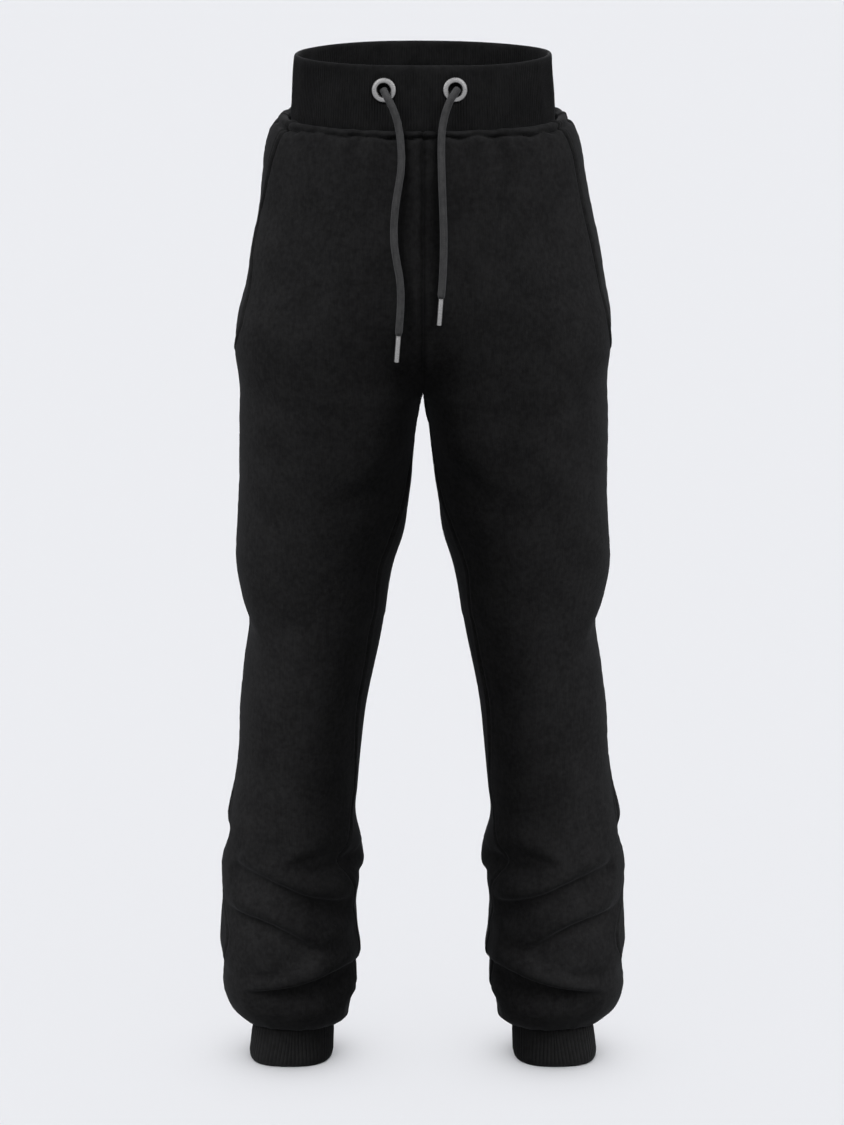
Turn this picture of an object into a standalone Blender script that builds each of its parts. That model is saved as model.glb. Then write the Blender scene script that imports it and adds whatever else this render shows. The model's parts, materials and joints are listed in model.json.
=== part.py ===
"""Jogger sweatpants in their worn shape, hollow, with the front towards -Y.

Sizes in the tables are millimetres: heights are above the hems of the cuffs, widths are from the
centre plane, and depths are -Y at the front and +Y at the back. The origin is the middle of the
waistband's ring. +X is the wearer's left.
"""
import math
from collections import namedtuple

import bmesh
import bpy
import numpy as np
from mathutils import Matrix, Vector

MM = 0.001

# Driving dimensions
ORIGIN_HEIGHT = 988.0        # the middle of the waistband's ring above the hems
FORK_HEIGHT = 690.0          # where the hips begin to merge into two legs
FRONT_RISE = 110.0           # height of the curved part of the front crotch seam
BACK_RISE = 150.0            # the same at the back
CLOTH = 2.2                  # wall of the brushed fleece
RIB_DOUBLE = 5.0             # the waistband: rib folded over its elastic
CUFF_DOUBLE = 3.4            # a cuff: rib folded double
SEAM_GAP = 0.3               # between neighbouring pieces
HIP_POWER = 0.9              # power of the hip's oval: 1 is an ellipse, less is squarer
SEAT_POWER = 0.5             # the same just above the fork, where two thighs lie side by side
SEAT_HEIGHT = 200.0          # the seat's power turns into the hip's over this height
SEAT_RISE_POWER = 0.6        # below 1, the two legs' ovals merge faster just above the fork
CROTCH_POWER = 4             # the larger, the nearer the crotch seam the J-shaped merging stays
FACING_START = 520.0         # the thighs' inner sides grow flat from here up to the fork
THIGH_POWER = 0.55           # the same on the inner side of a thigh, which faces the other one
OUTER_POWER = 0.95           # the same on the outer side of a leg
POCKET_CLOTH = 1.8           # wall of the pocket's facing and pouch
POCKET_CLEARANCE = 1.2       # between the front and the pouch behind it
POCKET_TUCK = 2.0            # it lies this much deeper below the mouth
POCKET_BEHIND = 4            # mesh columns of the pouch behind the front
POCKET_BEYOND = 3            # mesh columns from the mouth to the side seam
POCKET_BOTTOM = 711.0        # its lowest section
POUCH_EDGE = 0.5             # below the mouth the pouch ends this many dense columns short
POUCH_WIDTH = 4.0            # and its last columns begin this many short
FRONT_COLUMNS = 10           # mesh columns across a front
BACK_COLUMNS = 11            # mesh columns across a back
DENSE = 64                   # points along a front or back section before it is divided

# A panel is one cut of cloth, but its solid is divided across at these heights, into four stretches.
PANEL_CUTS = (250.0, 491.0, 735.0)
STRETCH_WORDS = ("shin", "knee", "thigh", "hip")

CLOTH_SHARP = 50.0           # degrees between faces at which a wall's edge is sharp
TURNED_SHARP = 40.0          # the same on the eyelets and aglets

# One row for each horizontal section of a leg or of the hips, from the ankle to the waist seam.
# The inner side is 0 above the fork. Seams are given by their depth.
Section = namedtuple("Section", "height inner outer_right outer_left front back inseam outseam")
SECTIONS = (
    Section(34.0, 88.2, 178.6, 178.6, -47.8, 48.0, 0.0, 0.0),
    Section(41.0, 79.6, 186.6, 186.6, -57.0, 57.0, 0.0, 0.0),
    Section(52.0, 75.0, 196.5, 196.5, -67.0, 69.0, 0.0, 0.0),
    Section(66.0, 70.2, 202.5, 202.5, -75.0, 78.0, -2.0, 0.0),
    Section(82.0, 67.0, 205.2, 205.2, -79.0, 83.0, -6.0, -4.0),
    Section(98.0, 65.3, 205.6, 205.6, -81.0, 86.0, -10.0, -16.0),
    Section(114.0, 65.5, 206.0, 206.0, -81.5, 87.0, -12.0, -30.0),
    Section(130.0, 66.3, 206.4, 206.4, -81.0, 87.0, -12.0, -41.0),
    Section(146.0, 67.5, 206.4, 206.4, -80.0, 86.0, -14.0, -43.0),
    Section(162.0, 68.7, 205.0, 205.0, -79.5, 85.5, -20.0, -34.0),
    Section(178.0, 67.0, 204.0, 204.0, -80.0, 86.0, -26.0, -20.0),
    Section(194.0, 63.3, 203.7, 203.7, -81.0, 87.0, -34.0, -6.0),
    Section(210.0, 60.7, 203.4, 203.4, -82.0, 87.0, -46.0, 0.0),
    Section(228.0, 62.7, 202.1, 202.1, -82.0, 86.0, -52.0, -8.0),
    Section(250.0, 69.2, 199.8, 199.8, -81.5, 85.0, -36.0, -20.0),
    Section(288.0, 66.4, 192.2, 192.2, -81.0, 84.0, -22.0, -10.0),
    Section(332.0, 62.1, 185.5, 185.5, -81.5, 85.0, -32.0, 0.0),
    Section(376.0, 57.0, 183.4, 183.4, -82.5, 88.0, -40.0, 2.0),
    Section(420.0, 48.9, 178.4, 178.4, -84.5, 90.0, -43.0, 2.0),
    Section(463.0, 39.5, 175.3, 175.3, -87.5, 89.0, -45.0, 2.0),
    Section(491.0, 35.5, 179.9, 179.9, -90.0, 89.0, -48.0, 2.0),
    Section(520.0, 29.4, 185.6, 185.6, -93.0, 91.0, -53.0, 2.0),
    Section(549.0, 20.4, 185.2, 185.2, -96.0, 95.0, -55.0, 3.0),
    Section(600.0, 11.8, 182.2, 182.2, -102.0, 104.0, -48.0, 4.0),
    Section(680.0, 3.6, 180.5, 180.7, -111.0, 119.0, -37.0, 6.0),
    Section(690.0, 1.9, 180.2, 180.6, -112.0, 121.0, -35.0, 6.0),
    Section(695.5, 0.0, 180.3, 180.6, -112.8, 122.5, -35.0, 6.0),
    Section(711.0, 0.0, 181.4, 181.2, -114.5, 127.0, -35.0, 6.0),
    Section(735.0, 0.0, 184.2, 183.7, -117.0, 133.0, -35.0, 7.0),
    Section(766.0, 0.0, 181.8, 184.0, -119.0, 138.0, -35.0, 8.0),
    Section(800.0, 0.0, 172.6, 177.5, -120.0, 140.5, -35.0, 9.0),
    Section(835.0, 0.0, 167.0, 172.0, -119.5, 140.5, -35.0, 10.0),
    Section(870.0, 0.0, 159.8, 165.0, -118.0, 137.0, -35.0, 10.0),
    Section(905.0, 0.0, 156.0, 157.8, -116.0, 131.0, -35.0, 8.0),
    Section(932.0, 0.0, 152.5, 152.5, -113.7, 124.0, -35.0, 6.0),
    Section(948.0, 0.0, 147.0, 147.0, -111.8, 117.5, -35.0, 4.0),
    Section(957.0, 0.0, 140.5, 140.5, -109.6, 111.5, -35.0, 2.0),
    Section(961.5, 0.0, 134.0, 134.0, -106.2, 106.8, -35.0, 1.0),
    Section(959.5, 0.0, 129.8, 129.8, -102.4, 102.7, -35.0, 0.0),
)

# The slant pocket mouth: how far out the front's edge is, as a share of the hip's half width.
Mouth = namedtuple("Mouth", "height right left")
MOUTH = (
    Mouth(735.0, 1.0, 1.0),
    Mouth(766.0, 0.972, 0.978),
    Mouth(800.0, 0.976, 0.968),
    Mouth(835.0, 0.988, 0.960),
    Mouth(870.0, 0.990, 0.957),
    Mouth(905.0, 0.968, 0.955),
    Mouth(932.0, 0.918, 0.945),
    Mouth(948.0, 0.895, 0.920),
    Mouth(962.0, 0.880, 0.900),
)

# The front of a horizontal section drops, or rises, by this slope at each height.
Tilt = namedtuple("Tilt", "height slope")
TILT = (
    Tilt(0.0, 0.0),
    Tilt(36.0, -0.11),
    Tilt(110.0, 0.0),
    Tilt(850.0, 0.0),
    Tilt(960.0, 0.115),
    Tilt(1020.0, 0.07),
)

# The largest folds. Around a leg, 0 is the inseam, 1 the outseam and 2 the inseam again.
Fold = namedtuple("Fold", "start_around start_height end_around end_height half_width depth")
FOLDS = (
    Fold(0.64, 221.0, 0.14, 180.0, 11.0, 6.5),
    Fold(0.90, 176.0, 0.42, 132.0, 10.0, 5.0),
    Fold(0.62, 90.0, 0.05, 104.0, 9.0, 7.0),
    Fold(1.30, 228.0, 1.80, 200.0, 12.0, 6.0),
    Fold(1.22, 152.0, 1.66, 122.0, 11.0, 5.5),
    Fold(1.42, 84.0, 1.90, 94.0, 10.0, 5.0),
    Fold(1.30, 486.0, 1.74, 466.0, 15.0, 4.5),
    Fold(1.26, 524.0, 1.66, 548.0, 15.0, 3.5),
)
AROUND_SIZE = 210.0          # millimetres around the leg for each 1 of "around"
RIDGE_PLACE = 1.9            # half widths from a fold's line to the ridge on each side of it
RIDGE_SHARE = 0.35           # a ridge's height as a share of its fold's depth

# Rings of the waistband and of a cuff, from the bottom up: half width and half depth outside, and
# the oval's power.
Ring = namedtuple("Ring", "height half_width half_depth power")
BAND_RINGS = (
    Ring(955.0, 128.9, 101.4, HIP_POWER),
    Ring(972.0, 126.8, 99.9, HIP_POWER),
    Ring(998.0, 125.2, 98.5, HIP_POWER),
    Ring(1017.0, 124.3, 97.6, HIP_POWER),
)
BAND_TOP = 1020.0
CUFF_RINGS = (
    Ring(0.4, 42.2, 44.2, 0.74),
    Ring(6.0, 43.2, 45.1, 0.77),
    Ring(26.0, 42.3, 43.7, 0.90),
    Ring(39.0, 41.0, 42.4, 0.92),
)
CUFF_CENTRE = 133.0
CUFF_LEAN = 3.2              # the hem lies this much further out than the top
BAND_COLUMNS = 40
CUFF_COLUMNS = 24

# Eyelets: a rolled flange on the band and a barrel in its hole.
Eyelet = namedtuple("Eyelet", "word across height")
EYELETS = (Eyelet("right", -36.6, 990.4), Eyelet("left", 30.0, 990.9))
EYELET_PROFILE = (           # radius, and distance out from the underside of the flange
    (6.25, -2.2), (6.25, 0.6), (6.9, 1.35), (8.8, 1.75), (10.6, 1.35), (11.5, 0.55), (11.3, 0.0),
    (7.0, 0.0), (6.9, -2.2),
)
EYELET_STEPS = 24
EYELET_LIFT = 0.45           # flange's underside above the rib
HOLE_RADIUS = 7.4
HOLE_DEPTH = 3.6
HOLE_OVERSHOOT = 4.0         # how far the hole's cutter stands out of the rib

# The drawcord's free ends. Each route runs from inside its eyelet down to the aglet.
CORD_DIAMETER = 7.3
CORD_STEP = 2.0              # diameters between the points of the tube
CORD_BEVEL = 3               # the tube's bevel resolution
ROUTE_SAMPLES = 24           # points tried between two points of a route
Route = namedtuple("Route", "across depth height")
ROUTES = {
    "right": (
        Route(-37.2, -99.6, 991.6), Route(-35.4, -102.4, 988.2), Route(-33.3, -105.4, 984.2),
        Route(-30.6, -107.7, 979.6), Route(-27.7, -109.0, 973.6), Route(-24.9, -109.8, 965.6),
        Route(-22.5, -111.2, 955.5), Route(-20.9, -114.3, 943.5), Route(-20.2, -117.0, 930.5),
        Route(-20.8, -119.2, 917.0), Route(-23.0, -121.0, 902.5), Route(-25.6, -122.6, 886.0),
        Route(-27.2, -123.5, 867.5), Route(-26.9, -124.2, 849.0), Route(-24.6, -124.8, 833.0),
        Route(-22.0, -125.0, 818.0), Route(-20.9, -125.0, 802.0), Route(-21.4, -124.8, 786.0),
        Route(-23.1, -124.4, 763.4),
    ),
    "left": (
        Route(32.4, -99.6, 992.0), Route(29.8, -102.5, 988.6), Route(27.0, -105.5, 984.6),
        Route(24.2, -107.8, 979.4), Route(21.6, -109.1, 972.6), Route(19.4, -109.9, 964.2),
        Route(17.8, -111.4, 954.6), Route(17.1, -114.5, 942.6), Route(17.1, -117.2, 928.5),
        Route(17.5, -119.8, 912.0), Route(18.1, -121.8, 894.5), Route(18.8, -123.3, 877.0),
        Route(19.3, -124.1, 859.5), Route(19.2, -124.6, 840.0), Route(18.4, -125.0, 819.0),
        Route(16.9, -124.9, 798.5),
    ),
}
AGLET_RADIUS = 2.6
AGLET_LENGTH = 25.0
AGLET_END_RADIUS = 2.2
AGLET_END_LENGTH = 0.45      # of the bevel at each end
AGLET_STEPS = 14


def soft_step(value):
    """0 below 0, 1 above 1, smooth between."""
    value = np.clip(value, 0.0, 1.0)
    return value * value * (3.0 - 2.0 * value)


def slope_at(height):
    """The tilt's slope at a height."""
    return np.interp(height, [row.height for row in TILT], [row.slope for row in TILT])


def to_world(x, y, height):
    """A point in metres from the origin; the tilt lifts the section's back and lowers its front."""
    tilted = height + slope_at(height) * np.asarray(y)
    return np.stack([x * MM, y * MM, (tilted - ORIGIN_HEIGHT) * MM], axis=-1)


def oval(angles, centre_x, half_width, centre_y, half_depth, inner_power, outer_power):
    """Points of an oval; angle 0 is its inner side, 90 degrees the front and 180 the outer side."""
    cosine = np.cos(angles)
    sine = np.sin(angles)
    power = np.where(cosine > 0.0, inner_power, outer_power)
    x = centre_x - half_width * np.sign(cosine) * np.abs(cosine) ** power
    y = centre_y - half_depth * np.sign(sine) * np.abs(sine) ** power
    return np.stack([x, y], axis=-1)


def divide(points, fractions):
    """The points at these fractions of a line's length."""
    steps = np.linalg.norm(np.diff(points[:, :2], axis=0), axis=1)
    along = np.concatenate([[0.0], np.cumsum(steps)]) / steps.sum()
    columns = [np.interp(fractions, along, points[:, k]) for k in range(points.shape[1])]
    return np.stack(columns, axis=-1)


def depth_angle(section, depth, power):
    """The angle from the inner or outer side at which an oval reaches a depth."""
    middle = (section.front + section.back) / 2
    half_depth = (section.back - section.front) / 2
    share = (middle - depth) / half_depth
    return math.copysign(math.asin(abs(share) ** (1.0 / power)), share)


def seat_blend(height, rise, share):
    """From 0, the leg's own oval, to 1, the hip's; it rises as a J beside the crotch seam."""
    part = np.clip((height - FORK_HEIGHT) / rise, 0.0, 1.0)
    smooth = soft_step(part ** SEAT_RISE_POWER)
    curved = np.sqrt(1.0 - (1.0 - part) ** 2)
    return smooth + (curved - smooth) * (1.0 - share) ** CROTCH_POWER


def oval_line(angles, shape):
    """A line along an oval through three angles, in two stretches of equal point counts."""
    stretches = []
    for first, last in zip(angles, angles[1:]):
        points = oval(np.linspace(first, last, 4 * DENSE + 1), *shape)
        stretches.append(divide(points, np.linspace(0.0, 1.0, DENSE // 2 + 1)))
    return np.concatenate([stretches[0], stretches[1][1:]])


def section_line(section, outer, back):
    """The front or back of one side's section, from its crotch seam or inseam to its outseam."""
    middle = (section.front + section.back) / 2
    half_depth = (section.back - section.front) / 2
    centre = (section.inner + outer) / 2
    facing = soft_step((section.height - FACING_START) / (FORK_HEIGHT - FACING_START))
    inner_power = 1.0 + (THIGH_POWER - 1.0) * facing
    inseam = depth_angle(section, section.inseam, inner_power)
    outseam = math.pi - depth_angle(section, section.outseam, OUTER_POWER)
    deepest = math.pi * 1.5 if back else math.pi * 0.5
    turns = (inseam + 2.0 * math.pi * back, deepest, outseam)
    shape = (centre, (outer - section.inner) / 2, middle, half_depth, inner_power, OUTER_POWER)
    line = oval_line(turns, shape)
    if section.inner == 0.0:
        high = soft_step((section.height - FORK_HEIGHT) / SEAT_HEIGHT)
        power = SEAT_POWER + (HIP_POWER - SEAT_POWER) * high
        beside = math.acos((centre / outer) ** (1.0 / power))
        turns = (deepest, math.pi + (beside if back else -beside), outseam)
        hip = oval_line(turns, (0.0, outer, middle, half_depth, power, power))
        share = np.linspace(0.0, 1.0, len(line))
        weight = seat_blend(section.height, BACK_RISE if back else FRONT_RISE, share)
        line += (hip - line) * weight[:, None]
        line[0, 0] = 0.0
    return divide(line, np.linspace(0.0, 1.0, DENSE + 1))


def half_section(section, outer):
    """One side's section: front from crotch seam or inseam to outseam, then back to it again."""
    front = section_line(section, outer, back=False)
    back = section_line(section, outer, back=True)
    return np.concatenate([front, back[::-1][1:]])


def fold_depth(around, height):
    """How far the folds push the cloth in at each place around a leg."""
    total = np.zeros_like(around)
    for fold in FOLDS:
        run_x = (fold.end_around - fold.start_around) * AROUND_SIZE
        run_y = fold.end_height - fold.start_height
        length = math.hypot(run_x, run_y)
        from_x = (np.mod(around - fold.start_around + 1.0, 2.0) - 1.0) * AROUND_SIZE
        from_y = height - fold.start_height
        along = (from_x * run_x + from_y * run_y) / length
        across = (from_y * run_x - from_x * run_y) / length
        past_end = np.maximum(np.maximum(-along, along - length), 0.0)
        trough = np.exp(-(across ** 2 + past_end ** 2) / fold.half_width ** 2)
        ridge_across = np.abs(across) - RIDGE_PLACE * fold.half_width
        ridge = np.exp(-(ridge_across ** 2 + past_end ** 2) / fold.half_width ** 2)
        total += fold.depth * (trough - RIDGE_SHARE * ridge)
    return total


def side_shell(side):
    """Rows of points and outward normals all round one side, in metres."""
    rows = []
    for section in SECTIONS:
        outer = section.outer_left if side > 0 else section.outer_right
        line = half_section(section, outer)
        rows.append(to_world(side * line[:, 0], line[:, 1], section.height))
    points = np.stack(rows)
    normals = shell_normals(points, side)
    around = np.linspace(0.0, 2.0, points.shape[1])[None, :]
    heights = np.array([section.height for section in SECTIONS])[:, None]
    depth = fold_depth(around + 0.0 * heights, heights + 0.0 * around)
    points = points - normals * depth[:, :, None] * MM
    return points, shell_normals(points, side)


def shell_normals(points, side):
    """Outward normals; a section closes on itself below the fork and on its mirror image above."""
    before = np.roll(points, 1, axis=1)
    after = np.roll(points, -1, axis=1)
    before[:, 0] = points[:, -2]
    after[:, -1] = points[:, 1]
    mirror = np.array([-1.0, 1.0, 1.0])
    for row, section in enumerate(SECTIONS):
        if section.inner == 0.0:
            before[row, 0] = points[row, 1] * mirror
            after[row, -1] = points[row, -2] * mirror
    across = after - before
    upward = np.gradient(points, axis=0)
    normals = np.cross(across, upward) * side
    return normals / np.linalg.norm(normals, axis=2)[:, :, None]


def pick(rows, columns):
    """Values of each row at places between its dense columns."""
    whole = np.clip(np.floor(columns).astype(int), 0, rows.shape[1] - 2)
    rest = (columns - whole)[:, :, None]
    row = np.arange(rows.shape[0])[:, None]
    return rows[row, whole] * (1.0 - rest) + rows[row, whole + 1] * rest


def wall_grids(points, normals, columns, sunk, wall, side):
    """The outer and inner faces of a wall that lies sunk below a side's surface."""
    normal = pick(normals, columns)
    normal /= np.linalg.norm(normal, axis=2)[:, :, None]
    outside = pull_in_edges(pick(points, columns), SEAM_GAP / 2 * MM)
    outside = outside - normal * sunk[:, :, None] * MM
    inside = outside - normal * wall * MM
    for grid in (outside, inside):
        grid[:, :, 0] = side * np.maximum(side * grid[:, :, 0], SEAM_GAP / 2 * MM)
    return outside, inside


def pull_in_edges(grid, gap):
    """Move the grid's outermost points inwards along the cloth by a gap."""
    moved = grid.copy()
    for edge, inside in ((0, 1), (-1, -2)):
        step = grid[:, inside] - grid[:, edge]
        moved[:, edge] += step / np.linalg.norm(step, axis=1)[:, None] * gap
    return moved


def cut_rows(grid, low, high):
    """Some rows of a grid, pulled in at each end where the next stretch begins."""
    part = grid[low:high + 1].copy()
    for edge, inside, is_cut in ((0, 1, low > 0), (-1, -2, high < len(grid) - 1)):
        if is_cut:
            step = part[inside] - part[edge]
            part[edge] += step / np.linalg.norm(step, axis=1)[:, None] * SEAM_GAP / 2 * MM
    return part


def new_object(name, mesh, material):
    """Link a mesh as an object with its material."""
    mesh.materials.append(material)
    thing = bpy.data.objects.new(name, mesh)
    bpy.context.scene.collection.objects.link(thing)
    return thing


def wall_mesh(name, outside, inside, closed):
    """A wall between two grids of points; closed means that its rows run all the way round."""
    rows, columns = outside.shape[:2]
    shell = bmesh.new()
    faces = []
    layers = []
    for grid in (outside, inside):
        layers.append([[shell.verts.new(point) for point in row] for row in grid])
    last = columns if closed else columns - 1
    for layer in layers:
        for lower, upper in zip(layer, layer[1:]):
            for column in range(last):
                far = (column + 1) % columns
                faces.append([lower[column], lower[far], upper[far], upper[column]])
    outer, inner = layers
    for row in (0, rows - 1):
        for column in range(last):
            far = (column + 1) % columns
            faces.append([outer[row][column], outer[row][far], inner[row][far], inner[row][column]])
    if not closed:
        for column in (0, columns - 1):
            for row in range(rows - 1):
                faces.append([outer[row][column], outer[row + 1][column],
                              inner[row + 1][column], inner[row][column]])
    for face in faces:
        shell.faces.new(face)
    bmesh.ops.triangulate(shell, faces=shell.faces[:])
    bmesh.ops.recalc_face_normals(shell, faces=shell.faces[:])
    mesh = bpy.data.meshes.new(name)
    shell.to_mesh(mesh)
    shell.free()
    mesh.shade_smooth()
    mesh.set_sharp_from_angle(angle=math.radians(CLOTH_SHARP))
    return mesh


def mouth_columns(side, points):
    """For each row, the dense column at which the front ends: the outseam or the pocket mouth."""
    ends = np.full(len(SECTIONS), float(DENSE))
    heights = [row.height for row in MOUTH]
    shares = [row.left if side > 0 else row.right for row in MOUTH]
    for row, section in enumerate(SECTIONS):
        share = np.interp(section.height, heights, shares)
        if section.height > heights[0] and share < 1.0:
            widths = np.abs(points[row, :DENSE + 1, 0])
            widest = int(np.argmax(widths))
            ends[row] = np.interp(share * widths[widest], widths[:widest + 1], np.arange(widest + 1))
    return ends


def make_panels(side, word, cloth):
    """One side's front and back; gives the side's shell and the front's columns."""
    points, normals = side_shell(side)
    ends = mouth_columns(side, points)[:, None]
    front = ends * np.linspace(0.0, 1.0, FRONT_COLUMNS + 1)
    back = 0.0 * ends + np.linspace(DENSE, 2.0 * DENSE, BACK_COLUMNS + 1)
    heights = [section.height for section in SECTIONS]
    bounds = [0, *(heights.index(cut) for cut in PANEL_CUTS), len(heights) - 1]
    for piece, columns in (("front", front), ("back", back)):
        outside, inside = wall_grids(points, normals, columns, 0.0 * columns, CLOTH, side)
        for stretch, low, high in zip(STRETCH_WORDS, bounds, bounds[1:]):
            name = f"{piece}_{word}_{stretch}"
            walls = [cut_rows(grid, low, high) for grid in (outside, inside)]
            new_object(name, wall_mesh(name, *walls, closed=False), cloth)
    return points, normals, front


def make_pocket(side, word, points, normals, front, cloth):
    """The facing and pouch: behind the front as far as the mouth, then out to the side seam."""
    rows = [row for row, section in enumerate(SECTIONS) if section.height >= POCKET_BOTTOM]
    behind = front[rows, -POCKET_BEHIND - 1:-1]
    mouth = front[rows, -1:]
    is_open = mouth < DENSE
    far = np.where(is_open, DENSE, DENSE - POUCH_EDGE)
    mouth = np.where(is_open, mouth, DENSE - POUCH_WIDTH)
    beyond = mouth + (far - mouth) * np.linspace(0.0, 1.0, POCKET_BEYOND + 1)
    depth = CLOTH + POCKET_CLEARANCE + np.where(is_open, 0.0, POCKET_TUCK)
    behind_depth = np.zeros_like(behind) + depth
    risen = soft_step(np.linspace(-1.0, 1.0, POCKET_BEYOND + 1)) * is_open
    sunk = np.concatenate([behind_depth, depth * (1.0 - risen)], axis=1)
    columns = np.concatenate([behind, beyond], axis=1)
    outside, inside = wall_grids(points[rows], normals[rows], columns, sunk, POCKET_CLOTH, side)
    new_object(f"pocket_{word}", wall_mesh(f"pocket_{word}", outside, inside, closed=False), cloth)


def ring_points(angles, ring, inset, centre, height):
    """Points round a tube of rib, inset from its ring."""
    wide = ring.half_width - inset
    deep = ring.half_depth - inset
    line = oval(angles, centre, wide, 0.0, deep, ring.power, ring.power)
    return to_world(line[:, 0], line[:, 1], height)


def make_tube(name, rings, columns, wall, centre, lean, cap_height, rib):
    """A tube of rib folded double: outer rings, an optional rounded top, and the inner face."""
    angles = np.linspace(0.0, 2.0 * math.pi, columns, endpoint=False)
    top = rings[-1].height
    outside = []
    inside = []
    for ring in rings:
        shift = centre + lean * (1.0 - ring.height / top)
        outside.append(ring_points(angles, ring, 0.0, shift, ring.height))
        inside.append(ring_points(angles, ring, wall, shift, ring.height))
    if cap_height:
        fold = ring_points(angles, rings[-1], wall / 2, shift, cap_height)
        outside.append(fold)
        inside.append(fold - np.array([0.0, 0.0, wall * MM / 2]))
    mesh = wall_mesh(name, np.stack(outside), np.stack(inside), closed=True)
    return new_object(name, mesh, rib)


def band_surface(across, height):
    """A point on the front of the waistband and the direction out of it."""
    heights = [ring.height for ring in BAND_RINGS]

    def point(at_across, at_height):
        half_width = np.interp(at_height, heights, [ring.half_width for ring in BAND_RINGS])
        half_depth = np.interp(at_height, heights, [ring.half_depth for ring in BAND_RINGS])
        share = abs(at_across / half_width) ** (1.0 / HIP_POWER)
        depth = -half_depth * math.sqrt(1.0 - share * share) ** HIP_POWER
        lowered = at_height + slope_at(height) * half_depth
        return Vector(to_world(at_across, depth, lowered))

    along = point(across + 1.0, height) - point(across - 1.0, height)
    up = point(across, height + 1.0) - point(across, height - 1.0)
    return point(across, height), along.cross(up).normalized()


def turned(name, profile, steps, surface):
    """A round piece: its profile of radius and height turned about its own Z."""
    shape = bmesh.new()
    rings = []
    for radius, height in profile:
        if radius == 0.0:
            rings.append([shape.verts.new((0.0, 0.0, height * MM))])
            continue
        ring = []
        for step in range(steps):
            angle = 2.0 * math.pi * step / steps
            ring.append(shape.verts.new((
                radius * MM * math.cos(angle), radius * MM * math.sin(angle), height * MM)))
        rings.append(ring)
    closed = profile[0][0] != 0.0
    pairs = list(zip(rings, rings[1:])) + ([(rings[-1], rings[0])] if closed else [])
    for lower, upper in pairs:
        for step in range(steps):
            after = (step + 1) % steps
            corners = [lower[step % len(lower)], lower[after % len(lower)],
                       upper[after % len(upper)], upper[step % len(upper)]]
            shape.faces.new(list(dict.fromkeys(corners)))
    bmesh.ops.recalc_face_normals(shape, faces=shape.faces[:])
    mesh = bpy.data.meshes.new(name)
    shape.to_mesh(mesh)
    shape.free()
    mesh.shade_smooth()
    mesh.set_sharp_from_angle(angle=math.radians(TURNED_SHARP))
    return new_object(name, mesh, surface)


def make_eyelets(band, metal):
    """The two eyelets and the holes that they line."""
    for eyelet in EYELETS:
        place, outward = band_surface(eyelet.across, eyelet.height)
        turn = outward.to_track_quat("Z", "Y")
        ring = turned(f"eyelet_{eyelet.word}", EYELET_PROFILE, EYELET_STEPS, metal)
        ring.matrix_world = Matrix.LocRotScale(place + outward * EYELET_LIFT * MM, turn, None)
        hole_profile = ((0.0, -HOLE_DEPTH), (HOLE_RADIUS, -HOLE_DEPTH),
                        (HOLE_RADIUS, HOLE_OVERSHOOT), (0.0, HOLE_OVERSHOOT))
        cutter = turned(f"hole_{eyelet.word}", hole_profile, EYELET_STEPS, metal)
        cutter.matrix_world = Matrix.LocRotScale(place, turn, None)
        cutter.hide_render = True
        cutter.display_type = "WIRE"
        cut = band.modifiers.new(f"hole_{eyelet.word}", "BOOLEAN")
        cut.operation = "DIFFERENCE"
        cut.solver = "EXACT"
        cut.object = cutter


def smooth_route(route, step):
    """Points a step apart along a smooth curve through the route's own points."""
    knots = [Vector((point.across, point.depth, point.height - ORIGIN_HEIGHT)) for point in route]
    knots = [knots[0] * 2 - knots[1], *knots, knots[-1] * 2 - knots[-2]]
    fine = []
    for before, start, end, after in zip(knots, knots[1:], knots[2:], knots[3:]):
        leave = (end - before) / 2
        arrive = (after - start) / 2
        for part in np.linspace(0.0, 1.0, ROUTE_SAMPLES, endpoint=False):
            rise = 3 * part ** 2 - 2 * part ** 3
            place = start * (1 - rise) + end * rise
            place += leave * (part ** 3 - 2 * part ** 2 + part)
            place += arrive * (part ** 3 - part ** 2)
            fine.append(place)
    fine.append(knots[-2])
    line = np.array([list(point) for point in fine])
    steps = np.linalg.norm(np.diff(line, axis=0), axis=1)
    count = max(2, round(steps.sum() / step))
    along = np.concatenate([[0.0], np.cumsum(steps)])
    places = np.linspace(0.0, along[-1], count + 1)
    return np.stack([np.interp(places, along, line[:, k]) for k in range(3)], axis=1) * MM


def make_cord(word, cotton, metal):
    """One free end of the drawcord, and its aglet in line with the cord's end."""
    points = smooth_route(ROUTES[word], CORD_STEP * CORD_DIAMETER)
    curve = bpy.data.curves.new(f"drawcord_{word}", "CURVE")
    curve.dimensions = "3D"
    curve.bevel_depth = CORD_DIAMETER * MM / 2
    curve.bevel_resolution = CORD_BEVEL
    curve.use_fill_caps = True
    spline = curve.splines.new("POLY")
    spline.points.add(len(points) - 1)
    for target, point in zip(spline.points, points):
        target.co = (*point, 1.0)
    curve.materials.append(cotton)
    cord = bpy.data.objects.new(f"drawcord_{word}", curve)
    bpy.context.scene.collection.objects.link(cord)
    downward = (Vector(points[-1]) - Vector(points[-2])).normalized()
    profile = (
        (0.0, 0.0),
        (AGLET_END_RADIUS, 0.0),
        (AGLET_RADIUS, AGLET_END_LENGTH),
        (AGLET_RADIUS, AGLET_LENGTH - AGLET_END_LENGTH),
        (AGLET_END_RADIUS, AGLET_LENGTH),
        (0.0, AGLET_LENGTH),
    )
    aglet = turned(f"aglet_{word}", profile, AGLET_STEPS, metal)
    start = Vector(points[-1]) + downward * SEAM_GAP * MM
    aglet.matrix_world = Matrix.LocRotScale(start, downward.to_track_quat("Z", "Y"), None)


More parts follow.
